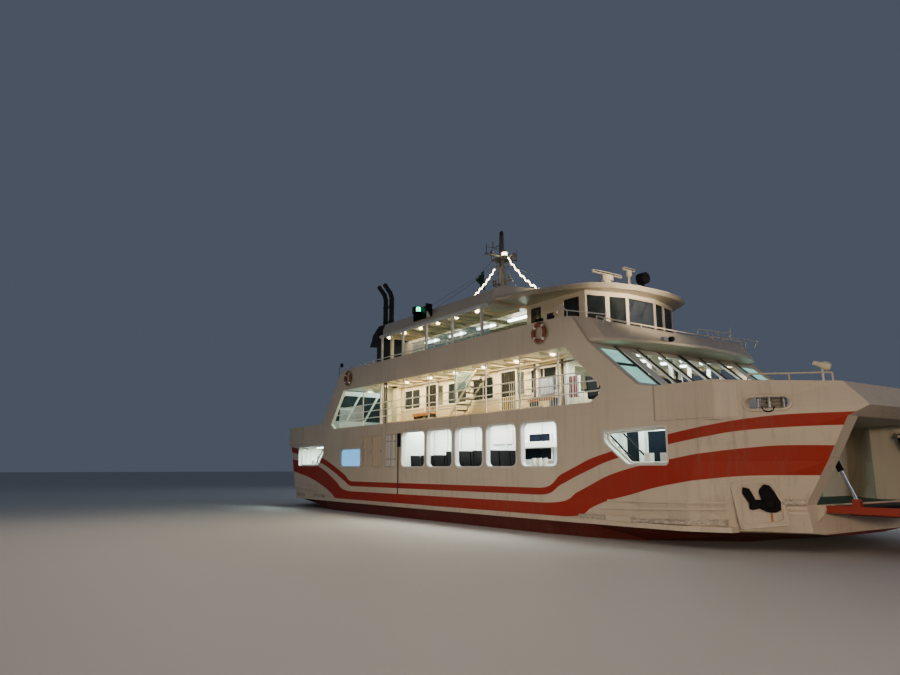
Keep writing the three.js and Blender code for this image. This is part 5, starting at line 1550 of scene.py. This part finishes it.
# The anchor and its bed, in places along and up the bed
ANCHOR_OUTLINE = (
    (-0.38, 0.46), (-0.22, 0.42), (-0.09, 0.14), (0.05, 0.14), (-0.01, 0.35), (0.02, 0.43), (0.12, 0.54),
    (0.26, 0.51), (0.39, 0.30), (0.50, 0.10), (0.49, -0.11), (0.36, -0.18), (0.17, -0.17), (-0.01, -0.08),
    (-0.16, -0.12), (-0.25, -0.10), (-0.25, 0.06), (-0.40, 0.31),
)
BED_OUTLINE = ((-0.68, 0.60), (-0.48, -0.64), (0.70, -0.48), (0.56, 0.18), (0.34, 0.74))
# Where the bed lies, and its directions along, up and out
BED_PLACE = Vector((14.9, -3.6, 1.2))
BED_ALONG = Vector((0.832, 0.555, 0.0))
BED_UP = Vector((0.12, -0.18, 0.976))
BED_OUT = Vector((0.54, -0.81, -0.22))


def between_stations(plan, x, column):
    for first, last in zip(plan, plan[1:]):
        if x <= last[0]:
            share = (x - first[0]) / (last[0] - first[0])
            return first[column] + share * (last[column] - first[column])
    return plan[-1][column]


def hull_side(x, z, out=0.0):
    """A place on the hull's side, at a station and a height"""
    low, high = between_stations(HULL_PLAN, x, 1), between_stations(HULL_PLAN, x, 2)
    share = min(1.0, max(0.0, (z - 0.5) / 0.7))
    return Vector((x, -(low + share * (high - low) + out), z))


def on_bed(along_bed, up, out):
    return BED_PLACE + BED_ALONG * along_bed + BED_UP * up + BED_OUT * out


def build_hull_trim():
    shape = Shape()
    # Ledges: station and height of each end
    steps = 16
    for x0, z0, x1, z1 in ((10.6, 1.17, 14.2, 1.22), (10.25, 0.93, 14.2, 1.06)):
        shares = [k / steps for k in range(steps + 1)]
        ledge = [hull_side(x0 + s * (x1 - x0), z0 + s * (z1 - z0), 0.004) for s in shares]
        shape.tube(ledge, 0.036, "cream_paint", 8)
    # Worn fender strip, with its chafed outer face
    sections = []
    for k in range(61):
        share = k / 60
        x = 11.56 + share * 2.6
        z0, z1 = 0.61 + 0.04 * share, 0.70 + 0.10 * share
        inner = hull_side(x, z1).y + 0.03
        outer = -between_stations(RAIL_PLAN, x, 1) - 0.012 * math.sin(7.1 * k) - 0.008 * math.sin(3.3 * k)
        chafed = z1 - 0.014 * abs(math.sin(2.3 * k))
        profile = ((inner, z0), (outer, z0), (outer, chafed - 0.03), (outer + 0.03, chafed), (inner, z1))
        sections.append([(x, y, z) for y, z in profile])
    shape.loft(sections, "worn_fender")
    shape.boxes("worn_fender", (9.46, 10.55, -4.70, -4.58, 0.605, 0.73))
    shape.boxes("cream_paint", (10.59, 11.54, -4.72, -4.56, 0.605, 0.76))
    # Roll and plates at the end of the quarter
    roll = [hull_side(15.2 + 0.06 * k, 1.20, 0.03) for k in range(11)]
    for place in roll:
        place.z = 1.27
    shape.tube(roll, 0.085, "worn_fender", 12)
    for z in (0.98, 1.10):
        corners = ((15.1, -0.02), (15.1, 0.07), (15.85, 0.07), (15.85, -0.02))
        plate = [hull_side(x, z, out) for x, out in corners]
        shape.slab([(p.x, p.y, z) for p in plate], (0, 0, 0.04), "cream_paint")
    # Dark strips of painted shadow along the seams round the raised plate of the end quarter, and the chafed
    # plate itself
    shape.boxes("seam_painted_shadow", *((x0, x1, -SIDE_Y - 0.004, -SIDE_Y + 0.01, z0, z1) for x0, x1, z0, z1 in (
        (12.47, 12.53, 3.44, 4.46), (12.53, 14.40, 3.43, 3.45))))
    # The chafed plate is lighter than the cream, partly from wear and partly a painted highlight
    ends = [(14.43 + share * 0.44 + 0.006, -4.60 + share * 0.47 - 0.006) for share in (0.08, 0.92)]
    plate = [(x, y, 3.47) for x, y in ends] + [(x, y, 4.36) for x, y in reversed(ends)]
    shape.slab(plate, (-0.02, 0.02, 0), "chafed_and_highlit_paint")
    shape.mirrored(1).mirrored(0).place("hull_trim", slot="hull_paint")

    for name, side in SIDES:
        anchor = Shape()
        outline = [Vector(p) for p in ANCHOR_OUTLINE]
        for inset, low, high in ((0.0, 0.045, 0.10), (-0.025, 0.10, 0.135), (-0.05, 0.135, 0.155)):
            level = [on_bed(p.x, p.y, low) for p in grown(outline, inset)]
            anchor.slab(level, BED_OUT * (high - low), "black_iron")
        rim = [on_bed(u, v, 0.075) for u, v in rounded(BED_OUTLINE, 0.09)]
        anchor.tube(rim, 0.022, "cream_paint", 8, closed=True)
        boss = on_bed(0.25, 0.05, 0.10)
        anchor.turned([(0, 0.12), (0.07, 0.12), (0.10, 0.08)], boss, BED_OUT, "black_iron")
        streak = ((0.23, -0.14), (0.29, -0.14), (0.31, -0.54), (0.25, -0.54))
        anchor.slab([on_bed(u, v, 0.033) for u, v in streak], BED_OUT * 0.004, "rust_streak")
        if side > 0:
            for place in anchor.points:
                place.y = -place.y
        anchor.place(f"anchor_stocked_{name}", slot="anchor_paint", replaces=[f"anchor_{name}"])


# Decks of the ramps, drawn level for the bow and then turned
RAMP_HINGE = (15.9, 1.09)
RAMP_HALF = 2.335
RAMP_TOP_Z = 1.15
RAMP_RAISED = 56.0


def build_ramps():
    top = RAMP_TOP_Z
    for name, end, raised in (("bow_ramp", 1, 0.0), ("stern_ramp", -1, RAMP_RAISED)):
        shape = Shape()
        shape.boxes("ramp_deck", (16.02, 18.56, -2.29, 2.29, top, top + 0.006))
        tread = Shape().box((-0.012, -2.1, 0), (0.012, 2.1, 0.014))
        row(shape, tread, (16.9, 0, top + 0.006), (0.15, 0, 0), 11, "black_iron")
        for y in (-RAMP_HALF, RAMP_HALF):
            shape.boxes("ramp_red", (16.0, 18.57, y - 0.04, y + 0.04, top, top + 0.035))
        for y in (-1.5, -0.5, 0.5, 1.5):
            shape.boxes("ramp_red", (16.15, 18.4, y - 0.04, y + 0.04, top - 0.23, top - 0.15))
        shape.boxes("ramp_red", (18.0, 18.1, -2.3, 2.3, top - 0.20, top - 0.15))
        turn = math.radians(raised)
        for place in shape.points:
            out, up = place.x - RAMP_HINGE[0], place.z - RAMP_HINGE[1]
            place.x = end * (RAMP_HINGE[0] + out * math.cos(turn) - up * math.sin(turn))
            place.z = RAMP_HINGE[1] + out * math.sin(turn) + up * math.cos(turn)
        shape.place(f"{name}_deck", name, "ramp_paint")


# Exhaust casing and brow
def build_exhaust_and_brow():
    """Straps and louvres of the exhaust casing, and fittings on the brow"""
    shape = Shape()
    soot = "soot_black"
    for x in (-5.76, -6.38):
        for z in (9.75, 10.55):
            shape.turned([(-0.035, 0.145), (0.035, 0.145)], (x, -2.75, z), UP, soot)
    for z in (9.75, 10.55):
        shape.boxes(soot, (-6.55, -5.6, -2.78, -2.72, z - 0.03, z + 0.03))
    slat = Shape().slab([(0, 0, 0), (0, -0.035, -0.03), (0, -0.03, -0.04), (0, 0, -0.02)], (1.1, 0, 0))
    row(shape, slat, (-6.4, -3.15, 8.72), (0, 0, 0.075), 8, soot)
    flat_frame(shape, (-6.5, -5.2, 8.60, 9.38, 0.03, 1), (-6.43, -5.27, 8.67, 9.31, 0.03, 1),
               -3.17, 0.02, soot)
    shape.place("exhaust_trim", slot="exhaust_paint")

    brow = Shape()
    # Twin lamps on the lip
    iron, lens = "galvanised", (10.98, -1.80, 6.32)
    brow.boxes(iron, (10.98, 11.10, -2.20, -1.98, 6.24, 6.36))
    brow.rod((11.02, -2.16, 6.30), (11.02, -1.76, 6.30), 0.025, iron)
    brow.turned([(0, 0.05), (0.04, 0.085), (0.16, 0.085), (0.20, 0.06)], lens, (1, 0, 0), "black_iron")
    brow.turned([(0.20, 0.07), (0.205, 0.07)], lens, (1, 0, 0), "clear_glass")
    # Hoop rail and aerial to port
    x, white = 9.9, "white_trim"
    brow.tube([(x, 1.2, 6.98), (x, 1.4, 7.22), (x, 3.2, 7.24), (x, 3.35, 6.98)], 0.022, white)
    for y in (1.9, 2.6):
        brow.rod((x, y, 6.98), (x, y, 7.22), 0.016, white)
    brow.rod((x, 3.38, 7.0), (x, 3.38, 7.6), 0.012, white)
    brow.turned([(0, 0.035), (0.1, 0.035)], (x, 3.38, 7.3), UP, white)
    brow.place("brow_fittings")


# Radars
def build_radars():
    for name, reach in (("radar_large", 0.8), ("radar_small", 0.32)):
        low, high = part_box(name)
        x, y, top = (low.x + high.x) / 2, (low.y + high.y) / 2, high.z
        shape = Shape()
        deep = min(0.06, (high.x - low.x) / 2)
        section = [(x - deep, top - 0.10), (x - deep * 0.6, top), (x + deep * 0.6, top),
                   (x + deep, top - 0.05), (x + deep * 0.8, top - 0.12), (x - deep * 0.8, top - 0.12)]
        shape.slab(on_side(section, y - reach), (0, 2 * reach, 0), "cream_paint")
        window = reach * 0.96
        shape.boxes("dark_trim", (x + deep * 0.9, x + deep, y - window, y + window, top - 0.09, top - 0.04))
        foot = [(0, 0.085), (0.03, 0.09), (top - 0.11 - low.z, 0.06)]
        shape.turned(foot, (x, y, low.z), UP, "white_trim", 20)
        shape.place(f"{name}_scanner", name, "radar_paint", replaces=[name])


# Operators
class FERRY_OT_stage(bpy.types.Operator):
    """Camera, floor, studio lights and the lights inside the ship"""
    bl_idname = "ferry.stage"
    bl_label = "Stage"

    def execute(self, context):
        build_stage()
        return {"FINISHED"}


class FERRY_OT_finishes(bpy.types.Operator):
    """Paints, glass and lamps, and the finish of each piece of the construction model"""
    bl_idname = "ferry.finishes"
    bl_label = "Finishes"

    def execute(self, context):
        make_finishes()
        dress_nodes()
        return {"FINISHED"}


class FERRY_OT_side_windows(bpy.types.Operator):
    """Frames, panes, doors and vents in the sides of the vehicle deck"""
    bl_idname = "ferry.side_windows"
    bl_label = "Side windows"

    def execute(self, context):
        build_side_windows()
        return {"FINISHED"}


class FERRY_OT_end_ports(bpy.types.Operator):
    """Ports near the bow and the stern, and the lobbies behind them"""
    bl_idname = "ferry.end_ports"
    bl_label = "End ports"

    def execute(self, context):
        build_end_ports()
        return {"FINISHED"}


class FERRY_OT_cabins(bpy.types.Operator):
    """Seats, lamps and bulkheads of the cabins beside the vehicle lane"""
    bl_idname = "ferry.cabins"
    bl_label = "Cabins"

    def execute(self, context):
        build_cabins()
        return {"FINISHED"}


class FERRY_OT_promenade(bpy.types.Operator):
    """Boarding, doors, lamps, benches and balusters of the promenade"""
    bl_idname = "ferry.promenade"
    bl_label = "Promenade"

    def execute(self, context):
        build_promenade()
        return {"FINISHED"}


class FERRY_OT_raked_windows(bpy.types.Operator):
    """Panes and bars of the raked windows"""
    bl_idname = "ferry.raked_windows"
    bl_label = "Raked windows"

    def execute(self, context):
        build_raked_windows()
        return {"FINISHED"}


class FERRY_OT_wheelhouse(bpy.types.Operator):
    """Panes, console and door trim of the wheelhouse"""
    bl_idname = "ferry.wheelhouse"
    bl_label = "Wheelhouse"

    def execute(self, context):
        build_wheelhouse()
        return {"FINISHED"}


class FERRY_OT_canopy(bpy.types.Operator):
    """Beams, lamps, rails and benches of the sun deck"""
    bl_idname = "ferry.canopy"
    bl_label = "Canopy and sun deck"

    def execute(self, context):
        build_canopy()
        return {"FINISHED"}


class FERRY_OT_lifebuoys(bpy.types.Operator):
    """Lifebuoys on the band of the sun deck"""
    bl_idname = "ferry.lifebuoys"
    bl_label = "Lifebuoys"

    def execute(self, context):
        build_lifebuoys()
        return {"FINISHED"}


class FERRY_OT_mast(bpy.types.Operator):
    """Lamps, ladder, stays, strings of lights and flag of the mast"""
    bl_idname = "ferry.mast"
    bl_label = "Mast"

    def execute(self, context):
        build_mast()
        build_flag()
        return {"FINISHED"}


class FERRY_OT_lights(bpy.types.Operator):
    """Sidelight lenses and radar scanners"""
    bl_idname = "ferry.lights"
    bl_label = "Sidelights and radars"

    def execute(self, context):
        build_sidelights()
        build_radars()
        return {"FINISHED"}


class FERRY_OT_end_decks(bpy.types.Operator):
    """Fairlead rims, bitts, windlass drums and floodlights"""
    bl_idname = "ferry.end_decks"
    bl_label = "End decks"

    def execute(self, context):
        build_end_decks()
        return {"FINISHED"}


class FERRY_OT_hull_trim(bpy.types.Operator):
    """Ledges and fenders along the ends of the hull, and the anchors"""
    bl_idname = "ferry.hull_trim"
    bl_label = "Hull trim"

    def execute(self, context):
        build_hull_trim()
        return {"FINISHED"}


class FERRY_OT_ramps(bpy.types.Operator):
    """Decks, treads and stiffeners of the ramps"""
    bl_idname = "ferry.ramps"
    bl_label = "Ramps"

    def execute(self, context):
        build_ramps()
        return {"FINISHED"}


class FERRY_OT_exhaust_and_brow(bpy.types.Operator):
    """Straps and louvres of the exhaust, and lamps and rails on the brow"""
    bl_idname = "ferry.exhaust_and_brow"
    bl_label = "Exhaust and brow"

    def execute(self, context):
        build_exhaust_and_brow()
        return {"FINISHED"}


OPERATORS = (
    FERRY_OT_stage, FERRY_OT_finishes, FERRY_OT_side_windows, FERRY_OT_end_ports, FERRY_OT_cabins,
    FERRY_OT_promenade, FERRY_OT_raked_windows, FERRY_OT_wheelhouse, FERRY_OT_canopy, FERRY_OT_lifebuoys,
    FERRY_OT_mast, FERRY_OT_lights, FERRY_OT_end_decks, FERRY_OT_hull_trim, FERRY_OT_ramps,
    FERRY_OT_exhaust_and_brow,
)


class FERRY_PT_panel(bpy.types.Panel):
    """Lists the steps that build the ferry"""
    bl_idname = "FERRY_PT_panel"
    bl_label = "Ferry"
    bl_space_type = "VIEW_3D"
    bl_region_type = "UI"
    bl_category = "Ferry"

    def draw(self, context):
        layout = self.layout
        for settings in (context.scene.ferry_sizes, context.scene.ferry_colours):
            for label in settings.__annotations__:
                layout.prop(settings, label)
        for operator in OPERATORS:
            layout.operator(operator.bl_idname)


CLASSES = (FerrySizes, FerryColours, *OPERATORS, FERRY_PT_panel)


def register():
    for item in CLASSES:
        bpy.utils.register_class(item)
    bpy.types.Scene.ferry_sizes = bpy.props.PointerProperty(type=FerrySizes)
    bpy.types.Scene.ferry_colours = bpy.props.PointerProperty(type=FerryColours)


def unregister():
    del bpy.types.Scene.ferry_sizes
    del bpy.types.Scene.ferry_colours
    for item in reversed(CLASSES):
        bpy.utils.unregister_class(item)


def main():
    register()
    for operator in OPERATORS:
        group, step = operator.bl_idname.split(".")
        getattr(getattr(bpy.ops, group), step)()


if __name__ == "__main__":
    main()
